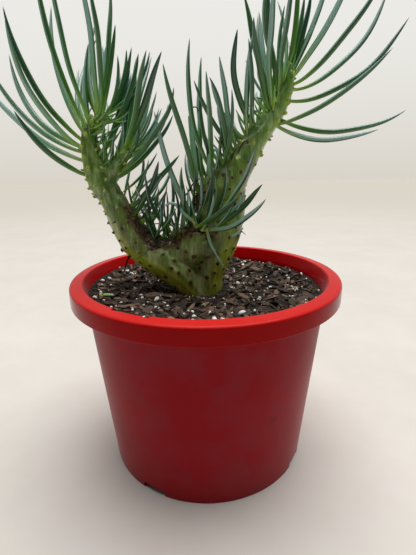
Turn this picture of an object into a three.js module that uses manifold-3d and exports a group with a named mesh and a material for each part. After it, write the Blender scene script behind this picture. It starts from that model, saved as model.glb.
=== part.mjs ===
// A potted senecio: a thick, forked, crested succulent stem with finger-like leaves, in a round red
// plastic pot. Millimetres, +Z up. The origin is on the pot's axis, on the surface it stands on, and
// the fan of the plant lies in the XZ plane, with its front towards -Y.
import * as THREE from 'three';
import { mergeVertices } from 'three/addons/utils/BufferGeometryUtils.js';
import Module from 'manifold-3d';

const wasm = await Module();
wasm.setup();

// ---- Driving dimensions ----

const clearance = 0.35; // between pieces that touch

const pot = {
  height: 144,
  rimRadius: 100,
  rimBand: 13, // height of the turned-down band
  rimInnerRadius: 90.6,
  wallTopRadius: 90.4,
  footRadius: 77,
  wall: 1.7,
  lipRound: 1.2, // rounding of the rim's edges
  rimSlope: 0.9, // how far the rim's top falls towards its outer edge
  floorUnderside: 4,
  floor: 2.5,
  sectors: 48,
};
const labelSlot = { angle: -118, width: 27, depth: 2.6, bite: 1.8 }; // rebate in the rim's inner edge
const drainage = {
  count: 4,
  firstAngle: 60, // degrees from +X
  notchWidth: 18,
  notchHeight: 5,
  slotWidth: 11,
  slotFrom: 58, // radii that the slot in the floor runs between
  slotTo: 69,
};
const mix = {
  top: 134.4, // where it meets the wall
  hollow: 3.6, // how far it dips round the stem
  tilt: 0.022, // slope down towards +X
  ripple: 0.9,
  rings: 5,
};
const leafShape = {
  sides: 6,
  radius: 1.95,
  neck: 0.42, // neck radius over full radius
  widest: 0.5, // where along the leaf it is full
};

// Stem limbs: rows of x, y, z, half width across the fan, half depth. The first row is underground.
const limbs = {
  leftArm: [
    [0, 0, 102, 10, 14],
    [-1, -1, 122, 10.5, 16.5],
    [-13.5, -3, 140.6, 14, 17],
    [-32.6, -4, 155.5, 13.4, 16],
    [-47.4, -5, 165.5, 12, 14],
    [-55.3, -6, 178, 11.2, 13],
    [-60.6, -7, 190, 9.8, 12.5],
    [-66.4, -8, 202, 8.9, 12],
    [-71.8, -8, 214, 9.8, 11.5],
    [-75, -8, 226, 8.4, 10.5],
    [-77, -8, 237, 6.6, 8],
    [-76, -8, 246, 5.8, 6.4],
    [-71, -8, 251.5, 4.8, 5.4],
    [-63, -8, 254.5, 3, 3.6],
  ],
  fork: [
    [-72, -8, 208, 7, 8],
    [-65, -9, 218, 6.6, 7.5],
    [-57, -11, 225, 5, 6],
    [-51, -13, 231.5, 3.6, 4.4],
    [-48, -14, 235, 2.2, 2.8],
  ],
  crest: [
    [-42, -3, 163, 5, 9],
    [-30, -2, 161, 10, 13],
    [-18, -1, 161, 14, 16],
    [-6, -2, 166, 17, 17],
    [5, -3, 162, 14.5, 17],
    [11, -3, 155, 8, 12],
  ],
  rightArm: [
    [3, 0, 102, 9.5, 14],
    [1.5, -1, 124, 10, 16],
    [3.5, -2, 145, 11.2, 16.5],
    [8.5, -3, 160, 12, 16],
    [12, -3, 176, 15, 15],
    [11.5, -3, 193, 18, 14],
    [14, -3, 207, 16.5, 13.5],
    [22, -2, 218, 11.5, 12.5],
    [31.4, -1, 232, 9.2, 10.5],
    [41.6, 0, 245.5, 7.8, 9],
    [50, 0, 257, 7, 8],
    [55.6, 0, 269, 5.8, 6.8],
    [57.8, 0, 280, 4.4, 4.8],
    [59, 0, 287.5, 2.4, 2.8],
  ],
};
const stemSides = 14;
const ringsPerRow = 1.8;

// Lines that leaves grow from, inside the stem.
const leafLines = {
  arm: [
    [0, 0, 102], [-2, -1, 122], [-16, -3, 143], [-33, -4, 155], [-48, -5, 165], [-56, -6, 178],
    [-61.5, -7, 190], [-67.5, -8, 202], [-73, -8, 214], [-76, -8, 226], [-77.5, -8, 237],
    [-77, -8, 246], [-72, -8, 251.5], [-65, -8, 254.5],
  ],
  fork: limbs.fork,
  crest: [[-40, -3, 164], [-28, -2, 166], [-16, -1, 170], [-5, -3, 176], [4, -6, 172]],
  ridge: [[-5, -3, 192], [-1, -2, 205], [9, -1, 214], [19, -1, 224], [29, 0, 236]],
  lump: [[-6, -12, 181], [2, -12, 176], [5, -12, 182], [7, -10, 192]],
  right: [
    [4, 0, 102], [2, -1, 124], [4, -2, 145], [9, -3, 160], [12, -3, 176], [11.5, -3, 193],
    [14, -3, 207], [22, -2, 218], [32, -1, 232], [41, 0, 245.5], [48, 0, 257], [53.5, 0, 269],
    [55.5, 0, 277],
  ],
};

// Leaves: line, place along it, heading in the fan (degrees, 0 is +X and 90 is up), lean to the
// front (degrees), length, and how far the middle hangs below the chord.
const leaves = {
  left_leaf: [
    ['arm', 0.86, 118, 0, 95, 10],
    ['arm', 0.84, 116, 12, 86, 12],
    ['arm', 0.85, 130, -12, 85, 14],
    ['arm', 0.83, 136, -2, 90, 11],
    ['arm', 0.8, 140, 8, 80, 8],
    ['arm', 0.74, 135, 16, 65, 7],
    ['arm', 0.91, 102, 5, 98, 5],
    ['arm', 0.88, 105, -16, 95, 8],
    ['arm', 0.94, 100, -3, 100, 5],
    ['arm', 0.83, 80, -14, 76, 0],
    ['arm', 0.8, 94, -22, 82, 4],
    ['arm', 0.97, 94, -8, 95, -2],
    ['arm', 0.98, 86, 14, 75, 3],
    ['arm', 0.97, 84, -18, 92, 3],
    ['arm', 0.78, 70, -8, 84, 4],
    ['arm', 0.8, 64, -5, 78, 5],
    ['fork', 0.7, 76, -30, 86, 0],
    ['fork', 0.1, 72, -8, 74, 4],
    ['fork', 0.75, 82, -18, 70, 2],
    ['fork', 1, 80, -42, 76, 3],
    ['fork', 0.6, 66, 26, 74, 2],
    ['fork', 0.4, 59, 18, 82, 3],
    ['fork', 0.15, 60, 8, 86, 5],
    ['fork', 0.1, 48, 10, 80, 8],
    ['fork', 0.05, 44, -16, 72, 6],
  ],
  middle_leaf: [
    ['crest', 0.85, 110, 4, 88, 5],
    ['arm', 0.58, 45, 4, 62, 0],
    ['arm', 0.56, 56, 20, 56, 4],
    ['ridge', 0.15, 104, 18, 88, 0],
    ['ridge', 0.45, 100, 8, 88, 8],
    ['crest', 0.65, 94, 26, 55, 2],
    ['ridge', 0.35, 91, 28, 75, -2],
    ['ridge', 0.55, 98, 26, 64, -6],
    ['ridge', 0.85, 102, 8, 62, 1],
    ['ridge', 0.25, 90, -12, 92, -2],
    ['lump', 0.5, 45, 30, 53, 3],
    ['lump', 0.2, 32, 32, 56, 6],
    ['lump', 0, 40, 37, 45, 2],
    ['lump', 0.8, 60, 21, 56, 4],
  ],
  right_leaf: [
    ['right', 0.8, 107, 18, 64, 9],
    ['right', 0.87, 108, 28, 60, 2],
    ['right', 0.9, 107, -8, 75, 2],
    ['right', 0.86, 95, -18, 75, 0],
    ['right', 0.72, 90, 10, 70, -2],
    ['right', 0.93, 100, 8, 68, 2],
    ['right', 0.88, 94, 22, 76, 3],
    ['right', 0.92, 86, 16, 70, -2],
    ['right', 0.84, 71, -6, 86, 5],
    ['right', 0.98, 68, -10, 78, 4],
    ['right', 0.96, 60, 4, 78, 4],
    ['right', 0.95, 49, 12, 86, 7],
    ['right', 0.95, 43, -4, 92, 14],
    ['right', 0.92, 31, 8, 90, 14],
    ['right', 0.81, 31, 14, 90, 7],
    ['right', 0.87, 2, -2, 94, 12],
    ['right', 0.85, -6, 14, 72, 9],
  ],
};

// A dried leaf piece on the mix, on its left side.
const fallenLeaf = { from: [-74, -32, 137], to: [-63, -33, 137.3], radius: 1.4, rise: 0.8 };

// ---- Geometry helpers ----

/** A geometry with only merged positions, as the solids need it. */
function welded(geometry) {
  geometry.deleteAttribute('normal');
  geometry.deleteAttribute('uv');
  return mergeVertices(geometry, 1e-4);
}

/** The solid inside a closed geometry. */
function solid(geometry) {
  const shape = welded(geometry);
  return new wasm.Manifold(new wasm.Mesh({
    numProp: 3,
    vertProperties: new Float32Array(shape.attributes.position.array),
    triVerts: new Uint32Array(shape.index.array),
  }));
}

/** A geometry from a solid. */
function geometryOf(body) {
  const mesh = body.getMesh();
  const geometry = new THREE.BufferGeometry();
  geometry.setAttribute('position', new THREE.BufferAttribute(new Float32Array(mesh.vertProperties), 3));
  geometry.setIndex(new THREE.BufferAttribute(new Uint32Array(mesh.triVerts), 1));
  return geometry;
}

/** The smooth curve through a list of places. */
function curveThrough(rows) {
  return new THREE.CatmullRomCurve3(rows.map(([x, y, z]) => new THREE.Vector3(x, y, z)));
}

/**
 * A closed body swept along a curve. halfSizes(u) gives its half width in the fan and its half depth
 * at u, and rings of that size stand at each of the stops between a point at either end.
 */
function sweep(curve, halfSizes, sides, stops) {
  const places = [curve.getPoint(0)];
  for (const u of stops) {
    const centre = curve.getPoint(u);
    const tangent = curve.getTangent(u);
    const across = new THREE.Vector3(0, 1, 0).cross(tangent).normalize();
    const deep = tangent.clone().cross(across);
    const [width, depth] = halfSizes(u);
    for (let side = 0; side < sides; side += 1) {
      const angle = (2 * Math.PI * side) / sides;
      places.push(centre.clone()
        .addScaledVector(across, width * Math.cos(angle))
        .addScaledVector(deep, depth * Math.sin(angle)));
    }
  }
  places.push(curve.getPoint(1));

  const last = places.length - 1;
  const ringVertex = (ring, side) => 1 + ring * sides + (side % sides);
  const triangles = [];
  for (let side = 0; side < sides; side += 1) {
    triangles.push(0, ringVertex(0, side + 1), ringVertex(0, side));
    triangles.push(last, ringVertex(stops.length - 1, side), ringVertex(stops.length - 1, side + 1));
    for (let ring = 0; ring + 1 < stops.length; ring += 1) {
      const corners = [
        ringVertex(ring, side), ringVertex(ring, side + 1),
        ringVertex(ring + 1, side + 1), ringVertex(ring + 1, side),
      ];
      triangles.push(corners[0], corners[1], corners[2], corners[0], corners[2], corners[3]);
    }
  }
  const geometry = new THREE.BufferGeometry().setFromPoints(places);
  geometry.setIndex(triangles);
  return solid(geometry);
}

// ---- Pot ----

/** Radius of the pot's outer wall at a height. */
function wallRadius(z) {
  return pot.footRadius + ((pot.wallTopRadius - pot.footRadius) * z) / pot.height;
}

/** A box that runs out along a radius at an angle, between two radii and two heights. */
function radialBox(angle, inner, outer, width, low, high) {
  const box = new THREE.BoxGeometry(outer - inner, width, high - low);
  box.translate((inner + outer) / 2, 0, (low + high) / 2);
  box.rotateZ(THREE.MathUtils.degToRad(angle));
  return solid(box);
}

/** The pot: a turned wall, floor and rim, with notches in its foot and slots in its floor. */
function potBody() {
  const floorTop = pot.floorUnderside + pot.floor;
  const bandFoot = pot.height - pot.rimBand;
  const underRim = pot.height - pot.wall * 2;
  const profile = [
    [0, pot.floorUnderside],
    [pot.footRadius - pot.wall, pot.floorUnderside],
    [pot.footRadius - pot.wall, 0],
    [pot.footRadius, 0],
    [wallRadius(underRim), underRim],
    [pot.rimRadius - pot.wall, underRim - pot.rimSlope],
    [pot.rimRadius - pot.wall, bandFoot],
    [pot.rimRadius, bandFoot],
    [pot.rimRadius, pot.height - pot.rimSlope - pot.lipRound * 1.7],
    [pot.rimRadius - pot.lipRound * 0.6, pot.height - pot.rimSlope - pot.lipRound * 0.6],
    [pot.rimRadius - pot.lipRound * 1.7, pot.height - pot.rimSlope],
    [pot.rimInnerRadius + pot.lipRound, pot.height],
    [pot.rimInnerRadius, pot.height - pot.lipRound],
    [wallRadius(mix.top) - pot.wall, mix.top + pot.lipRound],
    [wallRadius(floorTop) - pot.wall, floorTop],
    [0, floorTop],
  ];
  const points = profile.map(([radius, z]) => new THREE.Vector2(radius, z));
  let body = solid(new THREE.LatheGeometry(points, pot.sectors).rotateX(Math.PI / 2));
  for (let index = 0; index < drainage.count; index += 1) {
    const angle = drainage.firstAngle + (360 * index) / drainage.count;
    const { notchWidth, notchHeight, slotWidth, slotFrom, slotTo } = drainage;
    body = body.subtract(radialBox(angle, slotTo + 2, pot.rimRadius, notchWidth, -1, notchHeight));
    body = body.subtract(radialBox(angle, slotFrom, slotTo, slotWidth, -1, floorTop + 1));
  }
  const { angle, width, depth, bite } = labelSlot;
  const rebate = [pot.rimInnerRadius - width / 4, pot.rimInnerRadius + bite, width];
  return body.subtract(radialBox(angle, ...rebate, pot.height - depth, pot.height + 1));
}

// ---- Stem ----

/** Half width and half depth of a limb at u, both grown by the given amount. */
function limbSizes(rows, grow) {
  const sizes = new THREE.CatmullRomCurve3(rows.map((row) => new THREE.Vector3(row[3], row[4], 0)));
  return (u) => {
    const size = sizes.getPoint(u);
    return [size.x + grow, size.y + grow];
  };
}

/** All limbs joined, each grown outwards by the given amount. */
function stemBody(grow) {
  const bodies = Object.values(limbs).map((rows) => {
    const rings = Math.round(rows.length * ringsPerRow);
    const stops = Array.from({ length: rings }, (_, index) => (index + 0.35) / (rings - 0.3));
    return sweep(curveThrough(rows), limbSizes(rows, grow), stemSides, stops);
  });
  return wasm.Manifold.union(bodies);
}

// ---- Potting mix ----

/** Height of the top of the mix at a place: smooth at the wall, hollow round the stem, rippled. */
function mixHeight(x, y) {
  const reach = Math.min(1, Math.hypot(x, y) / pot.footRadius);
  const ripple = Math.sin(x / 9) * Math.cos(y / 11) + Math.sin((x + y) / 6.5) * 0.6;
  const level = mix.top - mix.tilt * x;
  return level - mix.hollow * (1 - reach ** 2) + mix.ripple * ripple * (1 - reach ** 4);
}

/** The mix: it fills the pot up to its rippled top, with a socket for the stem's buried foot. */
function mixBody(stemEnvelope) {
  const low = pot.floorUnderside + pot.floor + clearance;
  const side = (z) => wallRadius(z) - pot.wall - clearance * 2;
  const points = [new THREE.Vector2(0, low), new THREE.Vector2(side(low), low)];
  for (let ring = mix.rings; ring >= 0; ring -= 1) {
    points.push(new THREE.Vector2((side(mix.top) * ring) / mix.rings, mix.top));
  }
  const geometry = new THREE.LatheGeometry(points, pot.sectors).rotateX(Math.PI / 2);
  const position = geometry.attributes.position;
  for (let index = 0; index < position.count; index += 1) {
    if (position.getZ(index) > mix.top - 1) {
      position.setZ(index, mixHeight(position.getX(index), position.getY(index)));
    }
  }
  return solid(geometry).subtract(stemEnvelope);
}

// ---- Leaves ----

/** Radius of a leaf at u: a thin neck, full near the middle, drawn out to a point. */
function leafRadius(u) {
  const { radius, neck, widest } = leafShape;
  if (u < widest) {
    return radius * (neck + (1 - neck) * Math.sin((Math.PI / 2) * (u / widest)));
  }
  const towardsTip = (u - widest) / (1 - widest);
  return radius * Math.sqrt(1 - towardsTip ** 2.4);
}

/** One whole leaf, from its root inside the stem to its tip. */
function leafBody([line, along, heading, lean, length, hang], grow) {
  const root = curveThrough(leafLines[line]).getPointAt(along);
  const h = THREE.MathUtils.degToRad(heading);
  const l = THREE.MathUtils.degToRad(lean);
  const direction = new THREE.Vector3(Math.cos(h) * Math.cos(l), -Math.sin(l), Math.sin(h) * Math.cos(l));
  const tip = root.clone().addScaledVector(direction, length);
  const below = new THREE.Vector3(Math.sin(h), 0, -Math.cos(h));
  if (below.z > 0) below.negate();
  const control = root.clone().lerp(tip, 0.5).addScaledVector(below, hang * 2);
  const curve = new THREE.QuadraticBezierCurve3(root, control, tip);
  const stops = [0.03, 0.17, 0.33, 0.5, 0.68, 0.84, 0.95];
  return sweep(curve, (u) => [leafRadius(u) + grow, leafRadius(u) + grow], leafShape.sides, stops);
}

/** The largest of a solid's separate bodies. */
function largest(body) {
  return body.decompose().reduce((best, one) => (one.volume() > best.volume() ? one : best));
}

/** Every leaf, each ending just short of the stem and of the leaves before it. */
function leafBodies(stemEnvelope) {
  const finished = new Map();
  const envelopes = [];
  for (const [group, rows] of Object.entries(leaves)) {
    rows.forEach((row, index) => {
      let body = leafBody(row, 0).subtract(stemEnvelope);
      for (const envelope of envelopes) body = body.subtract(envelope);
      finished.set(`${group}_${String(index + 1).padStart(2, '0')}`, largest(body));
      envelopes.push(leafBody(row, clearance));
    });
  }
  return finished;
}

/** The dried leaf piece that lies on the mix. */
function fallenLeafBody() {
  const from = new THREE.Vector3(...fallenLeaf.from);
  const to = new THREE.Vector3(...fallenLeaf.to);
  const middle = from.clone().lerp(to, 0.5).add(new THREE.Vector3(0, 0, fallenLeaf.rise));
  const curve = new THREE.QuadraticBezierCurve3(from, middle, to);
  return sweep(curve, () => [fallenLeaf.radius, fallenLeaf.radius], leafShape.sides, [0.15, 0.5, 0.85]);
}

// ---- Assembly ----

const finishes = {
  redPlastic: new THREE.MeshStandardMaterial({ color: '#b3262b', roughness: 0.4, metalness: 0 }),
  bark: new THREE.MeshStandardMaterial({ color: '#41332b', roughness: 0.95, metalness: 0 }),
  greenStem: new THREE.MeshStandardMaterial({ color: '#4a5f33', roughness: 0.6, metalness: 0 }),
  leafSkin: new THREE.MeshStandardMaterial({ color: '#4f7a56', roughness: 0.5, metalness: 0 }),
  driedLeaf: new THREE.MeshStandardMaterial({ color: '#8d8a3c', roughness: 0.8, metalness: 0 }),
};

/** A named mesh of a solid. */
function piece(name, body, material) {
  const mesh = new THREE.Mesh(geometryOf(body), material);
  mesh.name = name;
  return mesh;
}

const stemEnvelope = stemBody(clearance);
const plant = new THREE.Group();
plant.add(piece('pot', potBody(), finishes.redPlastic));
plant.add(piece('potting_mix', mixBody(stemEnvelope), finishes.bark));
plant.add(piece('stem', stemBody(0), finishes.greenStem));
for (const [name, body] of leafBodies(stemEnvelope)) {
  plant.add(piece(name, body, finishes.leafSkin));
}
plant.add(piece('fallen_leaf', fallenLeafBody(), finishes.driedLeaf));

export default plant;
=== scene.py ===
"""Looks of a potted senecio: a forked, crested succulent with finger-like leaves in a red nursery pot.

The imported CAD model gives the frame. Sizes inside the classes are millimetres, and MM turns them into
the frame's metres. +Z is up, the plant's fan lies along X, and its front faces -Y.
"""

from __future__ import annotations

import logging
import math
from dataclasses import dataclass, field
from enum import Enum
from functools import reduce

import bmesh
import bpy
import numpy as np
from mathutils import Matrix, Vector

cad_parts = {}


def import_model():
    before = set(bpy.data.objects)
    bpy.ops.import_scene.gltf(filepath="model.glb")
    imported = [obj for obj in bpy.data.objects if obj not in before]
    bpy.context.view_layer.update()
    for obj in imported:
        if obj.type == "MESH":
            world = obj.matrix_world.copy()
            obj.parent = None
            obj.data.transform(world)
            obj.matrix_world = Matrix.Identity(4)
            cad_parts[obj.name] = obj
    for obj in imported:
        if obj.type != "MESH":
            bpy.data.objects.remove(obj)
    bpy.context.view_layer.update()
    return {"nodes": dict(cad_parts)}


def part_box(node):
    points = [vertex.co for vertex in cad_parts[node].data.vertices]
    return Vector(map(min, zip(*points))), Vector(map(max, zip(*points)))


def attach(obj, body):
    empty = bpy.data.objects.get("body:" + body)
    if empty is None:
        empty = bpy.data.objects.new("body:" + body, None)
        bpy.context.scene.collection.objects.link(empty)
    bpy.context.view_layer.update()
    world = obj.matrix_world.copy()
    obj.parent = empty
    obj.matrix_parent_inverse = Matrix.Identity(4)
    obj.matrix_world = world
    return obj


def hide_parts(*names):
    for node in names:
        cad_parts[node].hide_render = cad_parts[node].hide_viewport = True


MM = 0.001
ROOT = "root"
UP = np.array([0.0, 0.0, 1.0])
FAN_NORMAL = np.array([0.0, 1.0, 0.0])
GRAIN_LENGTH = 0.03  # metres of a path in one unit of its grain
LOG = logging.getLogger("potted_senecio")
Array = np.ndarray
Random = np.random.Generator
Object = bpy.types.Object
Material = bpy.types.Material
Node = bpy.types.Node
Socket = bpy.types.NodeSocket
Colour = tuple[float, float, float, float]
Span = tuple[float, float]
Triple = tuple[float, float, float]
Stops = tuple[tuple[float, str], ...]  # places from 0 to 1 and colour codes
NO_TRIANGLES = np.zeros((0, 3), int)


# ---- shared arithmetic


def linear(code: str) -> Colour:
    """The linear colour of a six-digit screen colour code.

    Args:
        code: two hexadecimal digits each for red, green and blue, after a hash sign.

    Returns:
        Red, green, blue and an alpha of one.
    """
    parts = [int(code[i : i + 2], 16) / 255 for i in (1, 3, 5)]
    red, green, blue = (p / 12.92 if p <= 0.04045 else ((p + 0.055) / 1.055) ** 2.4 for p in parts)
    return (red, green, blue, 1.0)


def unit(vectors: Array) -> Array:
    """Vectors at length one, along their last axis."""
    return vectors / np.maximum(np.linalg.norm(vectors, axis=-1, keepdims=True), 1e-12)


def eased(values: Array, low: float, high: float) -> Array:
    """Zero below low, one above high, and a smooth step between them."""
    step = np.clip((values - low) / (high - low), 0, 1)
    return step * step * (3 - 2 * step)


def fading(values: Array, full: float, none: float) -> Array:
    """One below full, zero above none, and a smooth step between them."""
    return eased(-values, -none, -full)


def bell(values: Array, width: float) -> Array:
    """A bell curve that is one at zero: the exponential of minus the square of the value over the width."""
    return np.exp(-((values / width) ** 2))


def lattice_noise(points: Array, size: float, seed: int) -> Array:
    """Smooth value noise from -1 to 1: fixed random values on a cubic lattice, eased between corners.

    Args:
        points: (n, 3) places.
        size: edge of a lattice cell, in the same unit.
        seed: another seed gives another pattern.

    Returns:
        (n,) noise values.
    """
    cell = np.floor(points / size)
    part = points / size - cell
    part = part * part * (3 - 2 * part)
    total = np.zeros(len(points))
    for corner in np.ndindex(2, 2, 2):
        weight = np.prod(np.where(np.array(corner) == 1, part, 1 - part), axis=1)
        key = (cell + corner) @ np.array([12.9898, 78.233, 37.719]) + seed * 1.37
        total += weight * np.modf(np.sin(key) * 43758.5453)[0]
    return total


def cloudy_noise(points: Array, size: float, seed: int, octaves: int = 3) -> Array:
    """Lattice noise summed over octaves, each half the size and half the strength of the one before."""
    layers = (lattice_noise(points, size / 2**k, seed + k) / 2**k for k in range(octaves))
    return sum(layers) / 1.5


def along_line(rows: Array, samples: int, rounds: int = 1) -> Array:
    """Evenly spaced places along a line through the rows, rounded by a running mean.

    Args:
        rows: (n, d) places along the line.
        samples: how many places to return.
        rounds: how many times each inner place is moved to the mean of itself and its neighbours.

    Returns:
        (samples, d) places.
    """
    rows = np.asarray(rows, float)
    reach = np.r_[0, np.cumsum(np.linalg.norm(np.diff(rows, axis=0), axis=1))]
    wanted = np.linspace(0, reach[-1], samples)
    even = np.stack([np.interp(wanted, reach, rows[:, k]) for k in range(rows.shape[1])], axis=1)
    for _ in range(rounds):
        padded = np.vstack([even[:1], even, even[-1:]])
        even = (padded[:-2] + padded[1:-1] + padded[2:]) / 3
    return even


def ring_faces(rings: int, sides: int) -> tuple[Array, Array]:
    """Faces of a closed body whose vertices are a pole, then rings one after another, then a pole.

    Args:
        rings: how many rings stand between the poles.
        sides: points in a ring.

    Returns:
        Quads between the rings, and the triangles of the fans at the poles.
    """
    ring, side = np.meshgrid(np.arange(rings - 1), np.arange(sides), indexing="ij")
    ahead = (side + 1) % sides
    low = 1 + ring * sides
    high = low + sides
    quads = np.stack([low + side, low + ahead, high + ahead, high + side], axis=-1).reshape(-1, 4)
    around = np.arange(sides)
    following = (around + 1) % sides
    last = 1 + (rings - 1) * sides
    first_fan = np.stack([np.zeros(sides, int), 1 + following, 1 + around], axis=1)
    last_fan = np.stack([np.full(sides, last + sides), last + around, last + following], axis=1)
    return quads, np.vstack([first_fan, last_fan])


def many_ring_faces(count: int, rings: int, sides: int) -> tuple[Array, Array]:
    """The faces of ring_faces for a number of such bodies, whose vertices follow one another."""
    quads, fans = ring_faces(rings, sides)
    starts = (np.arange(count) * (rings * sides + 2))[:, None, None]
    return (quads[None] + starts).reshape(-1, 4), (fans[None] + starts).reshape(-1, 3)


# ---- meshes


@dataclass
class Surface:
    """A mesh as arrays: vertices in metres, quads, triangles and named values at the vertices."""

    vertices: Array
    quads: Array
    triangles: Array
    values: dict[str, Array] = field(default_factory=dict)

    @staticmethod
    def joined(surfaces: list[Surface]) -> Surface:
        """One surface that holds all of the given ones, which carry the same values."""
        starts = np.cumsum([0] + [len(s.vertices) for s in surfaces[:-1]])
        return Surface(
            np.concatenate([s.vertices for s in surfaces]),
            np.concatenate([s.quads + k for s, k in zip(surfaces, starts)]),
            np.concatenate([s.triangles + k for s, k in zip(surfaces, starts)]),
            {name: np.concatenate([s.values[name] for s in surfaces]) for name in surfaces[0].values},
        )

    def spread(self, numbers: Array) -> Array:
        """One number for each of the surface's equal bodies, repeated over the vertices of each."""
        return np.repeat(numbers, len(self.vertices) // len(numbers))

    def normals(self) -> Array:
        """Unit normals at the vertices, from the faces around each."""
        total = np.zeros_like(self.vertices)
        for faces in (self.quads, self.triangles):
            if len(faces):
                corners = self.vertices[faces]
                normal = np.cross(corners[:, 2] - corners[:, 0], corners[:, -1] - corners[:, 1])
                for column in range(faces.shape[1]):
                    for axis in range(3):
                        total[:, axis] += np.bincount(faces[:, column], normal[:, axis], minlength=len(total))
        return unit(total)

    def to_object(self, name: str, material: Material, smooth: bool = True) -> Object:
        """Makes the mesh and its object at the origin.

        Args:
            name: the object's name.
            material: its material.
            smooth: whether its faces are shaded smooth.

        Returns:
            The new object.
        """
        mesh = bpy.data.meshes.new(name)
        sizes = np.r_[np.full(len(self.quads), 4), np.full(len(self.triangles), 3)]
        corners = np.r_[self.quads.ravel(), self.triangles.ravel()].astype(np.int32)
        mesh.vertices.add(len(self.vertices))
        mesh.vertices.foreach_set("co", self.vertices.astype(np.float32).ravel())
        mesh.loops.add(len(corners))
        mesh.loops.foreach_set("vertex_index", corners)
        mesh.polygons.add(len(sizes))
        mesh.polygons.foreach_set("loop_start", np.r_[0, np.cumsum(sizes)[:-1]].astype(np.int32))
        mesh.polygons.foreach_set("use_smooth", np.full(len(sizes), smooth))
        mesh.update(calc_edges=True)
        for key, value in self.values.items():
            kind, column = ("FLOAT_VECTOR", "vector") if value.ndim == 2 else ("FLOAT", "value")
            attribute = mesh.attributes.new(key, kind, "POINT")
            attribute.data.foreach_set(column, value.astype(np.float32).ravel())
        mesh.materials.append(material)
        return placed(name, mesh)


def placed(name: str, data: bpy.types.ID) -> Object:
    """A new object for some data, linked to the scene."""
    obj = bpy.data.objects.new(name, data)
    bpy.context.scene.collection.objects.link(obj)
    return obj


def mesh_points(mesh: bpy.types.Mesh) -> Array:
    """The places of a mesh's vertices, as (n, 3) numbers in metres."""
    points = np.empty(len(mesh.vertices) * 3, np.float32)
    mesh.vertices.foreach_get("co", points)
    return points.reshape(-1, 3).astype(float)


def piece(obj: Object, replaces: tuple[str, ...] = ()) -> Object:
    """Ties a finished object to the frame: its body and the CAD nodes it stands for.

    Args:
        obj: the finished object.
        replaces: the CAD nodes it stands for.

    Returns:
        The same object.
    """
    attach(obj, ROOT)
    if replaces:
        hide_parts(*replaces)
    LOG.info("%s: %d faces", obj.name, len(obj.data.polygons))
    return obj


def swept(
    centres: Array, widths: Array, depths: Array, sides: int, face: Array, groove: float = 0.0,
    groove_width: float = 0.45,
) -> Surface:
    """Closed bodies carried along many paths at once.

    An elliptical ring stands across the path at each place but the first and the last, which are poles.
    A ring's point is centre + (across * width * cos(angle) + deep * depth * sin(angle)) * draw, where
    draw is one, less the groove times a bell curve around the side that faces along deep.

    Args:
        centres: (k, n, 3) places along k paths, in metres.
        widths: (k, n) half widths across, in metres.
        depths: (k, n) half depths, in metres.
        sides: points in a ring.
        face: (k, 3) or (3,) direction that the bodies' broad side looks in.
        groove: how far the broad side is drawn in along its middle, over the depth.
        groove_width: width of that bell curve, in radians around the ring.

    Returns:
        One surface with the values along, from 0 at the start to 1 at the end, facing, which is how far
        the skin looks along the face direction and which the leaf skin paints as bloom and painted light,
        and grain, which is the ring's direction and the place along the path.
    """
    count, length = centres.shape[:2]
    tangent = unit(np.gradient(centres, axis=1))
    face = np.broadcast_to(face, (count, 3))[:, None, :]
    deep = unit(face - (face * tangent).sum(-1, keepdims=True) * tangent)
    across = np.cross(deep, tangent)
    angle = 2 * math.pi * (np.arange(sides) + 0.5) / sides
    cosine, sine = np.cos(angle), np.sin(angle)
    draw = 1 - groove * bell(angle - math.pi / 2, groove_width)
    inner = slice(1, length - 1)
    outward = across[:, inner, None] * cosine[:, None] + deep[:, inner, None] * sine[:, None]
    rings = (
        centres[:, inner, None]
        + across[:, inner, None] * (widths[:, inner, None] * cosine * draw)[..., None]
        + deep[:, inner, None] * (depths[:, inner, None] * sine * draw)[..., None]
    )
    vertices = np.concatenate([centres[:, :1], rings.reshape(count, -1, 3), centres[:, -1:]], axis=1)
    ends = np.zeros((count, 1))
    looks = (outward * face[:, :, None]).sum(-1).reshape(count, -1)

    reach = np.cumsum(np.linalg.norm(np.diff(centres, axis=1), axis=-1), axis=1)
    reach = np.concatenate([ends, reach], axis=1)
    share = reach / reach[:, -1:]
    along = np.concatenate([share[:, :1], np.repeat(share[:, inner], sides, axis=1), share[:, -1:]], axis=1)
    turn = np.tile(np.stack([cosine, sine], axis=-1), (length - 2, 1))
    grain = np.zeros((count, vertices.shape[1], 3))
    grain[..., :2] = np.vstack([[0, 0], turn, [0, 0]])
    grain[..., 2] = along * reach[:, -1:] / GRAIN_LENGTH

    values = {
        "along": along.ravel(),
        # how far the skin looks along the face; the leaf skin paints its bloom and painted light by it
        "facing": np.concatenate([ends, looks, ends], axis=1).ravel(),
        "grain": grain.reshape(-1, 3),
    }
    return Surface(vertices.reshape(-1, 3), *many_ring_faces(count, length - 2, sides), values)


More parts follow.
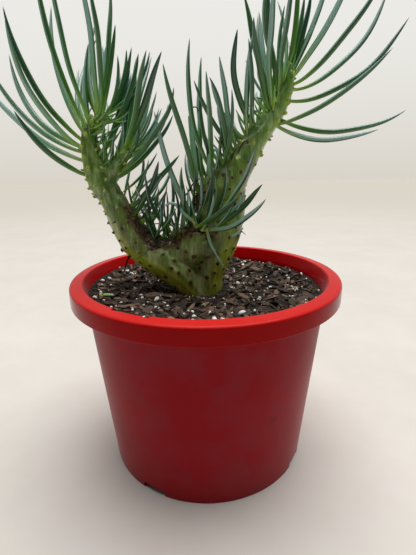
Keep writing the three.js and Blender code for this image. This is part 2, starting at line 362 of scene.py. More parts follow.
@dataclass(frozen=True)
class Lump:
    """The shape shared by a crowd of small bodies: a squared-off ellipsoid with a ragged outline."""

    sides: int = 7
    rings: int = 4
    squareness: float = 1.0
    ragged: float = 0.2
    ring_share: float = 0.5  # raggedness from ring to ring, over that of the outline
    height_share: float = 0.4  # raggedness of the heights, over that of the outline

    def crowd(self, centres: Array, axes: Array, sizes: Array, rng: Random) -> Surface:
        """One surface of many lumps.

        A lump's point is its centre plus its three half sizes along its axes, times powers of the sines
        and cosines of a globe's angles, times one plus a random raggedness.

        Args:
            centres: (k, 3) places, in metres.
            axes: (k, 3, 3) unit axes as rows.
            sizes: (k, 3) half sizes along the axes, in metres.
            rng: source of the ragged outlines.

        Returns:
            The surface, with the value tone, one random number for each lump.
        """
        count = len(centres)
        rise = np.linspace(-math.pi / 2, math.pi / 2, self.rings + 2)[1:-1]
        turn = 2 * math.pi * (np.arange(self.sides) + 0.5) / self.sides
        flat = np.cos(rise) ** self.squareness
        tall = np.sign(np.sin(rise)) * np.abs(np.sin(rise)) ** self.squareness
        grid = (count, self.rings, self.sides)
        outline = 1 + self.ragged * rng.uniform(-1, 1, (count, 1, self.sides))
        wobble = outline * (1 + self.ring_share * self.ragged * rng.uniform(-1, 1, grid))
        local = np.empty((*grid, 3))
        local[..., 0] = flat[:, None] * np.cos(turn) * wobble
        local[..., 1] = flat[:, None] * np.sin(turn) * wobble
        local[..., 2] = tall[:, None] * (1 + self.height_share * self.ragged * rng.uniform(-1, 1, grid))
        pole = np.zeros((count, 1, 3))
        pole[..., 2] = 1
        local = np.concatenate([-pole, local.reshape(count, -1, 3), pole], axis=1) * sizes[:, None]
        vertices = centres[:, None] + np.einsum("knj,kji->kni", local, axes)
        lumps = Surface(vertices.reshape(-1, 3), *many_ring_faces(count, self.rings, self.sides))
        lumps.values["tone"] = lumps.spread(rng.random(count))
        return lumps


def lying_axes(normals: Array, rng: Random, tilt: float) -> Array:
    """Axes of bodies that lie on a surface: any turn about its normal, and a random tilt.

    Args:
        normals: (k, 3) unit normals.
        rng: source of the turns and tilts.
        tilt: spread of the tilt, as a share of the normal's length.

    Returns:
        (k, 3, 3) unit axes as rows, the last one near the normal.
    """
    up = unit(normals + tilt * rng.normal(size=normals.shape))
    first = unit(np.cross(up, rng.normal(size=normals.shape)))
    return np.stack([first, np.cross(up, first), up], axis=1)


def curling_paths(
    starts: Array, headings: Array, lengths: Array, curls: Array, rng: Random, samples: int = 10
) -> Array:
    """Thin curved paths: arcs that leave along a heading and curl by an angle towards a random side.

    Args:
        starts: (k, 3) first places, in metres.
        headings: (k, 3) unit directions.
        lengths: (k,) lengths, in metres.
        curls: (k,) angles turned through from start to end, in radians.
        rng: source of the sides.
        samples: places on each path.

    Returns:
        (k, samples, 3) places along the paths.
    """
    side = unit(np.cross(headings, rng.normal(size=headings.shape)))
    share = np.linspace(0, 1, samples)[None, :, None]
    straight = 1e-3  # the least curl, because an arc's radius is its length over its curl
    curl = np.where(np.abs(curls) < straight, straight, curls)[:, None, None]
    reach = lengths[:, None, None] / curl
    forward = reach * np.sin(curl * share) * headings[:, None]
    return starts[:, None] + forward + reach * (1 - np.cos(curl * share)) * side[:, None]


# ---- materials


class Bench:
    """Short calls for adding and linking the nodes of one tree."""

    def __init__(self, tree: bpy.types.NodeTree) -> None:
        """Works on the given tree."""
        self.tree = tree

    def add(self, kind: str, inputs: dict[str | int, object] | None = None, **settings: object) -> Node:
        """Adds a node, sets its properties, and links or sets its inputs.

        Args:
            kind: the node's type.
            inputs: sockets or plain values, by input name or number.
            **settings: properties of the node.

        Returns:
            The new node.
        """
        node = self.tree.nodes.new(kind)
        for name, value in settings.items():
            setattr(node, name, value)
        self.fill(node, inputs or {})
        return node

    def fill(self, node: Node, inputs: dict[str | int, object]) -> None:
        """Links each socket given, and sets each plain value, at a node's inputs."""
        for name, value in inputs.items():
            if isinstance(value, Socket):
                self.tree.links.new(value, node.inputs[name])
            else:
                node.inputs[name].default_value = value

    def math(self, operation: str, first: object, second: object = 0.0) -> Socket:
        """The result of one operation on two numbers, kept from 0 to 1."""
        node = self.add("ShaderNodeMath", {0: first, 1: second}, operation=operation, use_clamp=True)
        return node.outputs[0]

    def product(self, *factors: object) -> Socket:
        """The product of two or more numbers, each step kept from 0 to 1."""
        return reduce(lambda first, second: self.math("MULTIPLY", first, second), factors)

    def rest(self, value: object) -> Socket:
        """One minus a number."""
        return self.math("SUBTRACT", 1.0, value)

    def share_and_sum(self, first: object, share: float, second: object) -> Socket:
        """A share of one number plus another number, without limits."""
        inputs = {0: first, 1: share, 2: second}
        return self.add("ShaderNodeMath", inputs, operation="MULTIPLY_ADD").outputs[0]

    def scaled(self, value: object, low: float, high: float, first: float, last: float) -> Socket:
        """A straight run from first, at the value low, to last, at the value high, and level past them."""
        return self.add("ShaderNodeMapRange", {0: value, 1: low, 2: high, 3: first, 4: last}).outputs[0]

    def upright(self, vector: object) -> Socket:
        """A vector's upright part."""
        return self.add("ShaderNodeSeparateXYZ", {0: vector}).outputs[2]

    def blend(self, factor: object, first: object, second: object) -> Socket:
        """Two colours blended by a factor."""
        return self.add("ShaderNodeMix", {0: factor, 6: first, 7: second}, data_type="RGBA").outputs[2]

    def tint(self, colour: object, code: str, *masks: object) -> Socket:
        """A colour with a colour code laid over it by the product of the masks."""
        return self.blend(self.product(*masks), colour, linear(code))

    def noise(self, vector: object, scale: float, detail: float = 3.0, rough: float = 0.55) -> Socket:
        """Cloudy noise from 0 to 1 at a number of cells for each unit of the vector."""
        inputs = {"Vector": vector, "Scale": scale, "Detail": detail, "Roughness": rough}
        return self.add("ShaderNodeTexNoise", inputs).outputs[0]

    def band(self, value: object, low: float, high: float) -> Socket:
        """Zero at low, one at high, and a smooth step between them."""
        inputs = {0: value, 1: low, 2: high, 3: 0.0, 4: 1.0}
        return self.add("ShaderNodeMapRange", inputs, interpolation_type="SMOOTHSTEP").outputs[0]

    def ramp(self, factor: object, *stops: tuple[float, str]) -> Socket:
        """A colour that runs through the stops, each a place from 0 to 1 and a colour code.

        Args:
            factor: where in the run to look.
            *stops: the places and colour codes.

        Returns:
            The colour.
        """
        node = self.add("ShaderNodeValToRGB", {0: factor})
        elements = node.color_ramp.elements
        while len(elements) < len(stops):
            elements.new(1.0)
        for element, (place, code) in zip(elements, stops):
            element.position = place
            element.color = linear(code)
        return node.outputs[0]

    def attribute(self, name: str, vector: bool = False) -> Socket:
        """A value stored at the vertices, as a number or a vector."""
        node = self.add("ShaderNodeAttribute", attribute_name=name)
        return node.outputs["Vector" if vector else "Fac"]

    def places(self) -> Socket:
        """Object coordinates, in metres."""
        return self.add("ShaderNodeTexCoord").outputs["Object"]

    def stretched(self, vector: object, scale: Triple) -> Socket:
        """A vector scaled along each axis."""
        return self.add("ShaderNodeMapping", {0: vector, 3: scale}).outputs[0]


class SharedEffect(Enum):
    """Shader node groups that more than one material uses."""

    MOTTLE = "mottled_colour"
    GRAIN = "grain_height"
    DUST = "settled_dust"


class Effects:
    """Builds each shared node group once and places it in a material."""

    def __init__(self) -> None:
        """Builds all the groups."""
        self.groups = {
            SharedEffect.MOTTLE: self._mottle(),
            SharedEffect.GRAIN: self._grain(),
            SharedEffect.DUST: self._dust(),
        }

    @staticmethod
    def _group(effect: SharedEffect, inputs: dict[str, str], outputs: dict[str, str]) -> tuple:
        """A new group with its sockets: its bench, its inputs and its output node.

        Args:
            effect: which group this is.
            inputs: the kind of each input by its name.
            outputs: the kind of each output by its name.

        Returns:
            The group's bench, the sockets that its inputs come from, and its output node.
        """
        tree = bpy.data.node_groups.new(effect.value, "ShaderNodeTree")
        for way, sockets in (("INPUT", inputs), ("OUTPUT", outputs)):
            for name, kind in sockets.items():
                tree.interface.new_socket(name, in_out=way, socket_type=f"NodeSocket{kind}")
        bench = Bench(tree)
        return bench, bench.add("NodeGroupInput").outputs, bench.add("NodeGroupOutput")

    def _mottle(self) -> bpy.types.NodeTree:
        """Cloudy patches of a second colour over a first one."""
        bench, given, out = self._group(
            SharedEffect.MOTTLE,
            {"Vector": "Vector", "Scale": "Float", "First": "Color", "Second": "Color", "Amount": "Float"},
            {"Colour": "Color"},
        )
        broad = bench.noise(given["Vector"], given["Scale"], 4.0, 0.6)
        mask = bench.product(bench.band(broad, 0.38, 0.66), given["Amount"])
        bench.fill(out, {"Colour": bench.blend(mask, given["First"], given["Second"])})
        return bench.tree

    def _grain(self) -> bpy.types.NodeTree:
        """A height made of coarse swells and fine pits."""
        bench, given, out = self._group(
            SharedEffect.GRAIN,
            {"Vector": "Vector", "Coarse": "Float", "Fine": "Float"},
            {"Height": "Float"},
        )
        coarse = bench.noise(given["Vector"], given["Coarse"], 3.0, 0.5)
        fine = bench.noise(given["Vector"], given["Fine"], 5.0, 0.6)
        bench.fill(out, {"Height": bench.share_and_sum(fine, 0.35, coarse)})
        return bench.tree

    def _dust(self) -> bpy.types.NodeTree:
        """Fine dust that settles in clouds on faces that look up."""
        bench, given, out = self._group(
            SharedEffect.DUST,
            {"Vector": "Vector", "Colour": "Color", "Dust": "Color", "Amount": "Float"},
            {"Colour": "Color"},
        )
        normal = bench.add("ShaderNodeNewGeometry").outputs["Normal"]
        upward = bench.band(bench.upright(normal), -0.1, 0.9)
        cloud = bench.band(bench.noise(given["Vector"], 90.0, 6.0, 0.7), 0.42, 0.7)
        mask = bench.product(cloud, upward, given["Amount"])
        bench.fill(out, {"Colour": bench.blend(mask, given["Colour"], given["Dust"])})
        return bench.tree

    def _place(self, bench: Bench, effect: SharedEffect, inputs: dict[str, object]) -> Socket:
        """Adds a shared group to a material's tree, fills its inputs and gives its output."""
        node = bench.add("ShaderNodeGroup", node_tree=self.groups[effect])
        bench.fill(node, inputs)
        return node.outputs[0]

    def mottled(
        self, bench: Bench, vector: object, scale: float, first: object, second: str, amount: object
    ) -> Socket:
        """A colour with patches of a second one, given by its code."""
        inputs = {"Vector": vector, "Scale": scale, "Amount": amount}
        return self._place(bench, SharedEffect.MOTTLE, {**inputs, "First": first, "Second": linear(second)})

    def grained(self, bench: Bench, vector: object, coarse: float, fine: float) -> Socket:
        """A height made of coarse swells and fine pits, at their numbers of cells for each unit."""
        return self._place(bench, SharedEffect.GRAIN, {"Vector": vector, "Coarse": coarse, "Fine": fine})

    def dusted(self, bench: Bench, vector: object, colour: object, dust: str, amount: object) -> Socket:
        """A colour under dust of the given colour code."""
        inputs = {"Vector": vector, "Colour": colour, "Dust": linear(dust), "Amount": amount}
        return self._place(bench, SharedEffect.DUST, inputs)


def new_material(name: str, constants: dict[str, float]) -> tuple[Material, Bench, Node]:
    """A new material, the bench for its tree, and its shader with the plain values set.

    Args:
        name: the material's name.
        constants: plain values of the shader's inputs.

    Returns:
        The material, its bench and its shader.
    """
    material = bpy.data.materials.new(name)
    material.use_nodes = True
    bench = Bench(material.node_tree)
    shader = material.node_tree.nodes["Principled BSDF"]
    bench.fill(shader, constants)
    return material, bench, shader


@dataclass(frozen=True)
class Finish:
    """What every finish has: a name, its roughness, the height of its bumps and the shared effects."""

    name: str = "finish"
    roughness: float = 0.5
    bump_height: float = 0.3  # millimetres
    effects: Effects | None = None

    def start(self, constants: dict[str, float] | None = None) -> tuple[Material, Bench, Node]:
        """The new material, its bench and its shader, with the roughness and other plain values set."""
        return new_material(self.name, {"Roughness": self.roughness, **(constants or {})})

    def finish(
        self, bench: Bench, shader: Node, colour: object, height: object, rough: object = None
    ) -> None:
        """Links the colour, the bump's height and, where there is one, a roughness mask to the shader.

        Args:
            bench: the bench of the material's tree.
            shader: the material's shader.
            colour: the colour all over.
            height: the bump's height, in units of the finish's own.
            rough: the roughness, where it changes over the surface.
        """
        bump = {"Height": height, "Distance": self.bump_height * MM, "Strength": 1.0}
        links = {"Base Color": colour, "Normal": bench.add("ShaderNodeBump", bump).outputs[0]}
        if rough is not None:
            links["Roughness"] = rough
        bench.fill(shader, links)


@dataclass(frozen=True)
class PotPlastic(Finish):
    """Red moulded plastic: a glossy rim and a hazier wall with fine scuffs and one small stain. The rim's
    upright band is painted a darker red, as painted shade, and its lip a lighter red, as painted light.

    The wall inside the rim is painted a brighter red, as painted light, with marks of soil. Places, heights
    and radii are metres.
    """

    name: str = "pot_plastic"
    bump_height: float = 0.02
    specular: float = 0.07
    sheen: float = 0.16
    sheen_roughness: float = 0.3
    red: str = "#9a0f1a"
    faded: str = "#92262e"
    faded_amount: float = 0.8
    # painted shade: the darker red of the rim's upright band, which faces the dim front
    painted_shade_band_red: str = "#9c0003"
    # painted light: the lighter red of the lip, where the light from above falls
    painted_lit_lip_red: str = "#d42a28"
    # painted light: the brighter red of the wall inside the rim
    painted_lit_inner_red: str = "#c2060a"
    scuff: str = "#d9807a"
    scuff_amount: float = 0.12
    # dust below the rim, which also stands in for the wall's hazy reflection, as painted reflection
    dust: str = "#8c4a46"
    dust_amount: float = 0.5
    soil: str = "#2a1a12"
    rim_height: float = 0.131
    rim_edge: float = 0.001
    lip_height: float = 0.1422
    lip_edge: float = 0.0008
    inner_radius: float = 0.0915
    inner_edge: float = 0.0006
    soiled_from: float = 0.1312
    soiled_edge: float = 0.001
    soil_amount: float = 0.4
    smudge: Triple = (0.044, -0.071, 0.062)
    smudge_reach: float = 0.005
    smudge_amount: float = 0.7
    wall_roughness: Span = (0.34, 0.46)
    rim_roughness: Span = (0.12, 0.22)

    def _scuffs(self, bench: Bench, place: object) -> Socket:
        """A mask of fine upright streaks and level scratches."""
        streaks = bench.noise(bench.stretched(place, (420.0, 420.0, 30.0)), 1.0, 5.0, 0.7)
        scratches = bench.noise(bench.stretched(place, (150.0, 150.0, 1400.0)), 1.0, 2.0, 0.5)
        worn = bench.math("ADD", bench.band(streaks, 0.64, 0.8), bench.band(scratches, 0.74, 0.8))
        return bench.product(worn, self.scuff_amount)

    def _stain(self, bench: Bench, place: object) -> Socket:
        """A mask of the small cloudy smudge on the wall."""
        inputs = {0: place, 1: self.smudge}
        apart = bench.add("ShaderNodeVectorMath", inputs, operation="DISTANCE").outputs[1]
        cloud = bench.noise(place, 700.0, 3.0)
        return bench.product(bench.band(apart, self.smudge_reach, 0.0), cloud, self.smudge_amount)

    def _inside(self, bench: Bench, place: object, height: object) -> Socket:
        """A mask of the wall inside the rim.

        Args:
            bench: the bench of the material's tree.
            place: Object coordinates.
            height: their upright part.

        Returns:
            The mask.
        """
        level = bench.stretched(place, (1.0, 1.0, 0.0))
        across = bench.add("ShaderNodeVectorMath", {0: level}, operation="LENGTH").outputs[1]
        outside = bench.band(across, self.inner_radius - self.inner_edge, self.inner_radius)
        above = bench.band(height, self.soiled_from, self.soiled_from + self.soiled_edge)
        return bench.product(bench.rest(outside), above)

    def material(self) -> Material:
        """Builds the material."""
        constants = {
            "Specular IOR Level": self.specular,
            "Sheen Weight": self.sheen,
            "Sheen Roughness": self.sheen_roughness,
        }
        material, bench, shader = self.start(constants)
        place = bench.places()
        height = bench.upright(place)
        rim = bench.band(height, self.rim_height - self.rim_edge, self.rim_height + self.rim_edge)
        lip = bench.band(height, self.lip_height - self.lip_edge, self.lip_height + self.lip_edge)
        colour = self.effects.mottled(bench, place, 34.0, linear(self.red), self.faded, self.faded_amount)
        # Painted shade: the rim's upright band turns a darker red.
        colour = bench.tint(colour, self.painted_shade_band_red, rim)
        # Painted light: the lip on top of the rim turns a lighter red.
        colour = bench.tint(colour, self.painted_lit_lip_red, lip)
        colour = bench.tint(colour, self.scuff, self._scuffs(bench, place))
        # Dust below the rim: partly dust and partly a painted reflection haze on the wall.
        dust_and_painted_haze = bench.product(bench.rest(rim), self.dust_amount)
        colour = self.effects.dusted(bench, place, colour, self.dust, dust_and_painted_haze)
        colour = bench.tint(colour, self.soil, self._stain(bench, place))
        inside = self._inside(bench, place, height)
        # Painted light: the wall inside the rim turns a brighter red.
        colour = bench.tint(colour, self.painted_lit_inner_red, inside)
        splash = bench.band(bench.noise(place, 330.0, 5.0, 0.7), 0.56, 0.68)
        colour = bench.tint(colour, self.soil, splash, inside, self.soil_amount)
        swells = self.effects.grained(bench, place, 60.0, 1500.0)
        patches = bench.noise(place, 35.0, 5.0, 0.65)
        hazy = bench.scaled(patches, 0.3, 0.7, *self.wall_roughness)
        smooth = bench.scaled(patches, 0.3, 0.7, *self.rim_roughness)
        rough = bench.add("ShaderNodeMix", {0: rim, 2: hazy, 3: smooth}, data_type="FLOAT").outputs[0]
        self.finish(bench, shader, colour, swells, rough)
        return material


@dataclass(frozen=True)
class LeafSkin(Finish):
    """Waxy succulent leaf: deep green on one side and a pale blue-green bloom on the side it faces with. That
    side looks up and mostly to the left, so the pale side is also painted light and the deep side also
    painted shade.

    Tone 0 is the bluest leaf, 1 the greenest, and from there to 2 a leaf is newer and yellower. The
    colours of deep, bloomed and fresh run from the root to the tip.
    """

    name: str = "leaf_skin"
    roughness: float = 0.3
    bump_height: float = 0.05
    coat: float = 0.3
    coat_roughness: float = 0.2
    # the dark side's colours: the leaf's own green, darkened as painted shade
    deep: Stops = (
        (0.0, "#c2d45a"), (0.1, "#74a42a"), (0.28, "#2f6620"), (0.6, "#1d4830"), (0.95, "#204846"),
        (1.0, "#5a4a34"),
    )
    # the pale side's colours: waxy bloom, lightened as painted light
    bloomed_and_lit: Stops = (
        (0.0, "#dce894"), (0.1, "#a8cc70"), (0.28, "#90c09c"), (0.6, "#a2ccc4"), (0.96, "#b0d2d2"),
        (1.0, "#7a6a4c"),
    )
    fresh: Stops = ((0.0, "#c6d85a"), (0.3, "#94c63c"), (0.8, "#72b048"), (1.0, "#8db068"))
    grass: str = "#56962c"
    grass_amount: float = 0.35
    vein: str = "#23502c"
    vein_amount: float = 0.4
    # values between which the pale side of bloom and painted light takes over
    bloom_and_light_edge: Span = (0.2, 0.62)
    calm_tip: Span = (0.55, 0.85)  # stretch of the leaf over which its bumps fade out

    def material(self) -> Material:
        """Builds the material."""
        constants = {"Coat Weight": self.coat, "Coat Roughness": self.coat_roughness}
        material, bench, shader = self.start(constants)
        along = bench.attribute("along")
        tone = bench.attribute("tone")
        grain = bench.attribute("grain", vector=True)
        clouds = bench.noise(bench.stretched(grain, (0.9, 0.9, 0.5)), 1.0, 4.0, 0.6)
        # Pale bloom and painted light on the side each leaf faces with, up and mostly left; the other side is
        # painted shade.
        edge = bench.share_and_sum(clouds, 0.7, bench.attribute("facing"))
        bloom_and_light_mask = bench.band(edge, *self.bloom_and_light_edge)
        body = bench.blend(bloom_and_light_mask, bench.ramp(along, *self.deep), bench.ramp(along, *self.bloomed_and_lit))
        greenness = bench.math("ADD", tone, 0.0)  # the tone, kept from 0 to 1
        body = bench.tint(body, self.grass, greenness, self.grass_amount)
        newness = bench.scaled(tone, 1.0, 2.0, 0.0, 1.0)
        body = bench.blend(newness, body, bench.ramp(along, *self.fresh))
        veins = bench.band(bench.noise(bench.stretched(grain, (4.5, 4.5, 0.25)), 1.0, 3.0, 0.6), 0.46, 0.7)
        veined = bench.tint(body, self.vein, veins, self.vein_amount)
        height = self.effects.grained(bench, bench.stretched(grain, (3.0, 3.0, 0.5)), 1.0, 4.0)
        calm = bench.rest(bench.band(along, *self.calm_tip))
        self.finish(bench, shader, veined, bench.product(height, calm))
        return material


@dataclass(frozen=True)
class StemSkin(Finish):
    """Thick green skin: grey-green bloom in fine streaks, bright lime flanks and a paler foot, both painted
    light, brown blotches and a scabbed crest.

    Each of the streaked colours runs through the same fine upright streaks, from dark to pale.
    """

    name: str = "stem_skin"
    roughness: float = 0.36
    bump_height: float = 0.35
    coat: float = 0.22
    coat_roughness: float = 0.28
    green: Stops = ((0.32, "#283f04"), (0.46, "#3c5c0c"), (0.58, "#5e7e1a"), (0.72, "#98b048"))
    grey: Stops = ((0.32, "#344618"), (0.48, "#526c2e"), (0.6, "#84a05e"), (0.72, "#b6c89a"))
    young: Stops = ((0.32, "#325e20"), (0.48, "#588a44"), (0.6, "#90b47a"), (0.72, "#c8deb4"))
    # painted light: the paler green of the foot, which the arms and leaves above shade
    painted_lit_foot: Stops = ((0.32, "#56702c"), (0.46, "#809c4c"), (0.58, "#a6ba78"), (0.72, "#d0dcb0"))
    # painted light: the bright lime of the flanks, as if lit
    painted_lit_flank: Stops = ((0.32, "#7a9c12"), (0.46, "#a8cc2a"), (0.58, "#c8e84c"), (0.72, "#e4f690"))
    bark: Stops = ((0.3, "#1d110b"), (0.5, "#46301f"), (0.7, "#8a6a4c"))
    lime: str = "#b4d82c"
    thread: str = "#c6d2c0"
    brown: str = "#7a6230"
    bud: str = "#aabe3c"
    scar: str = "#5a3c24"
    dust: str = "#b5ad90"
    grey_least: float = 0.15
    # share of the painted light on the foot
    painted_lit_foot_amount: float = 0.8
    # share of the painted light on the flanks
    painted_lit_flank_amount: float = 0.75
    thread_amount: float = 0.5
    bark_amount: float = 0.85
    dust_amount: float = 0.08

    def _streaked(self, bench: Bench, place: object, lit_flank: object) -> Socket:
        """The living colours: old and young skin, a paler foot and bright lime flanks, both painted light.

        Args:
            bench: the bench of the material's tree.
            place: Object coordinates.
            lit_flank: how far the skin lies on a flank that is painted bright lime, as painted light.

        Returns:
            The colour.
        """
        streaks = bench.noise(bench.stretched(place, (1.0, 1.0, 0.2)), 230.0, 6.0, 0.68)
        clouds = bench.band(bench.noise(place, 42.0, 4.0, 0.6), 0.4, 0.6)
        greyed = bench.product(bench.rest(lit_flank), bench.math("ADD", clouds, self.grey_least))
        colour = bench.blend(greyed, bench.ramp(streaks, *self.green), bench.ramp(streaks, *self.grey))
        colour = bench.blend(bench.attribute("young"), colour, bench.ramp(streaks, *self.young))
        # Painted light: the foot of the stem is blended to a paler green, where the arms and leaves above
        # shade it.
        low = bench.product(bench.attribute("low"), self.painted_lit_foot_amount)
        colour = bench.blend(low, colour, bench.ramp(streaks, *self.painted_lit_foot))
        # Painted light: the flanks below the left arm and right of the right arm turn bright lime, as if lit.
        return bench.blend(bench.product(lit_flank, self.painted_lit_flank_amount), colour, bench.ramp(streaks, *self.painted_lit_flank))

    def _threads(self, bench: Bench, place: object, lit_flank: object) -> Socket:
        """A mask of fine pale upright threads, in clouds, and fainter on the flanks."""
        threads = bench.noise(bench.stretched(place, (1.0, 1.0, 0.1)), 700.0, 4.0, 0.7)
        clouds = bench.band(bench.noise(place, 60.0, 3.0), 0.4, 0.58)
        shaded = bench.rest(bench.product(lit_flank, 0.8))
        return bench.product(bench.band(threads, 0.52, 0.7), clouds, shaded, self.thread_amount)

    def material(self) -> Material:
        """Builds the material."""
        constants = {"Coat Weight": self.coat, "Coat Roughness": self.coat_roughness}
        material, bench, shader = self.start(constants)
        # how far the skin lies on a flank that is painted light
        lit_flank = bench.attribute("lit_flank")
        scab = bench.attribute("scab")
        place = bench.places()
        colour = self._streaked(bench, place, lit_flank)
        # Lime patches all over, and more on the flanks, where they are painted light.
        lime_and_lit_flank = bench.math("ADD", bench.product(lit_flank, 0.6), 0.12)
        patches = bench.stretched(place, (1.0, 1.0, 0.6))
        colour = self.effects.mottled(bench, patches, 70.0, colour, self.lime, lime_and_lit_flank)
        colour = bench.tint(colour, self.thread, self._threads(bench, place, lit_flank))
        browned = bench.math("ADD", bench.product(scab, 1.6), 0.12)
        blotches = bench.stretched(place, (1.0, 1.0, 0.7))
        colour = self.effects.mottled(bench, blotches, 110.0, colour, self.brown, browned)
        colour = bench.tint(colour, self.bud, bench.band(bench.attribute("bud"), 0.4, 0.95))
        colour = bench.tint(colour, self.scar, bench.band(bench.attribute("scar"), 0.2, 0.65))
        crusted = bench.band(bench.share_and_sum(bench.noise(place, 260.0, 5.0, 0.75), 1.7, scab), 1.25, 1.6)
        bark = bench.ramp(bench.noise(place, 700.0, 4.0, 0.7), *self.bark)
        colour = bench.blend(bench.product(crusted, self.bark_amount), colour, bark)
        colour = self.effects.dusted(bench, place, colour, self.dust, self.dust_amount)
        wrinkles = self.effects.grained(bench, bench.stretched(place, (1.0, 1.0, 0.4)), 260.0, 1500.0)
        self.finish(bench, shader, colour, wrinkles)
        return material


@dataclass(frozen=True)
class TonedFinish(Finish):
    """A dry natural finish: three colours run through by each body's tone, broken up by fine noise."""

    dark: str = "#201712"
    middle: str = "#4a392d"
    light: str = "#8a7460"
    scale: float = 500.0

    def material(self) -> Material:
        """Builds the material."""
        material, bench, shader = self.start()
        place = bench.places()
        fine = bench.noise(place, self.scale, 5.0, 0.7)
        mixed = bench.share_and_sum(fine, 0.7, bench.attribute("tone"))
        key = bench.scaled(mixed, 0.15, 1.55, 0.0, 1.0)
        colour = bench.ramp(key, (0.05, self.dark), (0.5, self.middle), (0.92, self.light))
        pits = self.effects.grained(bench, place, self.scale * 0.7, self.scale * 3.0)
        self.finish(bench, shader, colour, pits)
        return material


# ---- pot


@dataclass
class NurseryPot:
    """A moulded nursery pot: tapered wall, turned-down rim, raised floor and notched foot."""

    rim_band: float = 13.0
    rim_inner: float = 90.6
    wall_top: float = 90.4
    foot: float = 77.0
    wall: float = 1.7
    rim_slope: float = 0.9
    mouth_depth: float = 9.0  # height of the slope that leads down from the lip to the wall
    floor_underside: float = 4.0
    floor: float = 2.5
    notch: Span = (18.0, 5.0)  # width and height
    drain: Triple = (58.0, 69.0, 11.0)  # inner and outer radius, and width
    drain_angles: tuple[float, ...] = (60.0, 150.0, 240.0, 330.0)
    label_slot: tuple[float, float, float, float] = (-118.0, 27.0, 2.6, 1.8)  # angle, width, depth, bite
    slot_reach: float = 7.0  # how far the slot's cutter starts inside the rim
    spare: float = 1.0  # how far a cutter sticks out past what it cuts
    crease: float = 38.0  # degrees past which an edge is kept sharp
    sectors: int = 288
    corner_points: int = 7
    longest_run: float = 6.0

    def __post_init__(self) -> None:
        """Reads the pot's height and radius from the frame."""
        low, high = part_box("pot")
        self.height = (high.z - low.z) / MM
        self.radius = (high.x - low.x) / 2 / MM

    def wall_radius(self, z: float | Array) -> float | Array:
        """Radius of the outer wall at a height."""
        return self.foot + (self.wall_top - self.foot) * z / self.height

    def _outline(self) -> list[Triple]:
        """Corners of the turned section: radius, height and the rounding of each."""
        under_rim = self.height - self.wall * 2
        band_foot = self.height - self.rim_band
        floor_top = self.floor_underside + self.floor
        skirt = self.radius - self.wall
        mouth_foot = self.height - self.mouth_depth
        inner = self.wall_radius(mouth_foot) - self.wall
        return [
            (self.foot - self.wall, self.floor_underside, 0.6),
            (self.foot - self.wall, 0.0, 0.4),
            (self.foot, 0.0, 0.8),
            (self.wall_radius(under_rim), under_rim, 0.8),
            (skirt, under_rim - self.rim_slope, 1.0),
            (skirt, band_foot, 0.4),
            (self.radius, band_foot, 0.7),
            (self.radius, self.height - self.rim_slope, 2.4),
            (self.rim_inner, self.height, 1.5),
            (inner, mouth_foot, 6.0),
            (self.wall_radius(floor_top) - self.wall, floor_top, 1.2),
        ]

    def _section(self) -> Array:
        """The section as a line of points, where every corner is rounded and long runs are divided.

        A corner's curve is the parabola from one tangent point to the other, with the corner as its
        middle control point.
        """
        start = (0.0, self.floor_underside, 0.0)
        end = (0.0, self.floor_underside + self.floor, 0.0)
        corners = np.array([start, *self._outline(), end])
        points = [corners[0, :2]]
        for before, here, after in zip(corners[:-2], corners[1:-1], corners[2:]):
            back = unit(before[:2] - here[:2])
            ahead = unit(after[:2] - here[:2])
            half = math.acos(float(np.clip(back @ ahead, -1, 1))) / 2
            run = here[2] / math.tan(half)
            share = np.linspace(0, 1, self.corner_points)[:, None]
            bend = (1 - share) ** 2 * (here[:2] + back * run) + 2 * share * (1 - share) * here[:2]
            bend = bend + share**2 * (here[:2] + ahead * run)
            points.extend(bend)
        points.append(corners[-1, :2])
        points = np.array(points)
        steps = np.linalg.norm(np.diff(points, axis=0), axis=1)
        places = np.r_[0, np.cumsum(steps)]
        parts = (np.diff(places) / self.longest_run).astype(int) + 1
        extra = [np.linspace(a, b, max(2, n))[:-1] for a, b, n in zip(places[:-1], places[1:], parts)]
        wanted = np.r_[np.concatenate(extra), places[-1]]
        return np.stack([np.interp(wanted, places, points[:, k]) for k in range(2)], axis=1)

    def _surface(self) -> Surface:
        """The section turned about the axis: x = r cos(angle), y = r sin(angle)."""
        section = self._section()
        angle = 2 * math.pi * np.arange(self.sectors) / self.sectors
        inner = section[1:-1]
        rings = np.stack(
            [
                inner[:, :1] * np.cos(angle),
                inner[:, :1] * np.sin(angle),
                np.broadcast_to(inner[:, 1:], (len(inner), self.sectors)),
            ],
            axis=-1,
        )
        bottom = [[0, 0, section[0, 1]]]
        top = [[0, 0, section[-1, 1]]]
        vertices = np.vstack([bottom, rings.reshape(-1, 3), top]) * MM
        return Surface(vertices, *ring_faces(len(inner), self.sectors))

    @staticmethod
    def _cutter(angle: float, reach: Span, width: float, rise: Span) -> Object:
        """A box that runs out along a radius, for cutting the pot.

        Args:
            angle: direction of the radius, in degrees.
            reach: distances from the axis that it runs between.
            width: its width across the radius.
            rise: heights that it runs between.

        Returns:
            The box.
        """
        (inner, outer), (low, high) = reach, rise
        mesh = bpy.data.meshes.new("cutter")
        shape = bmesh.new()
        size = Matrix.Diagonal(((outer - inner) * MM, width * MM, (high - low) * MM, 1))
        move = Matrix.Translation(Vector(((inner + outer) / 2, 0, (low + high) / 2)) * MM)
        turn = Matrix.Rotation(math.radians(angle), 4, "Z")
        bmesh.ops.create_cube(shape, size=1.0, matrix=turn @ move @ size)
        shape.to_mesh(mesh)
        shape.free()
        return placed("cutter", mesh)

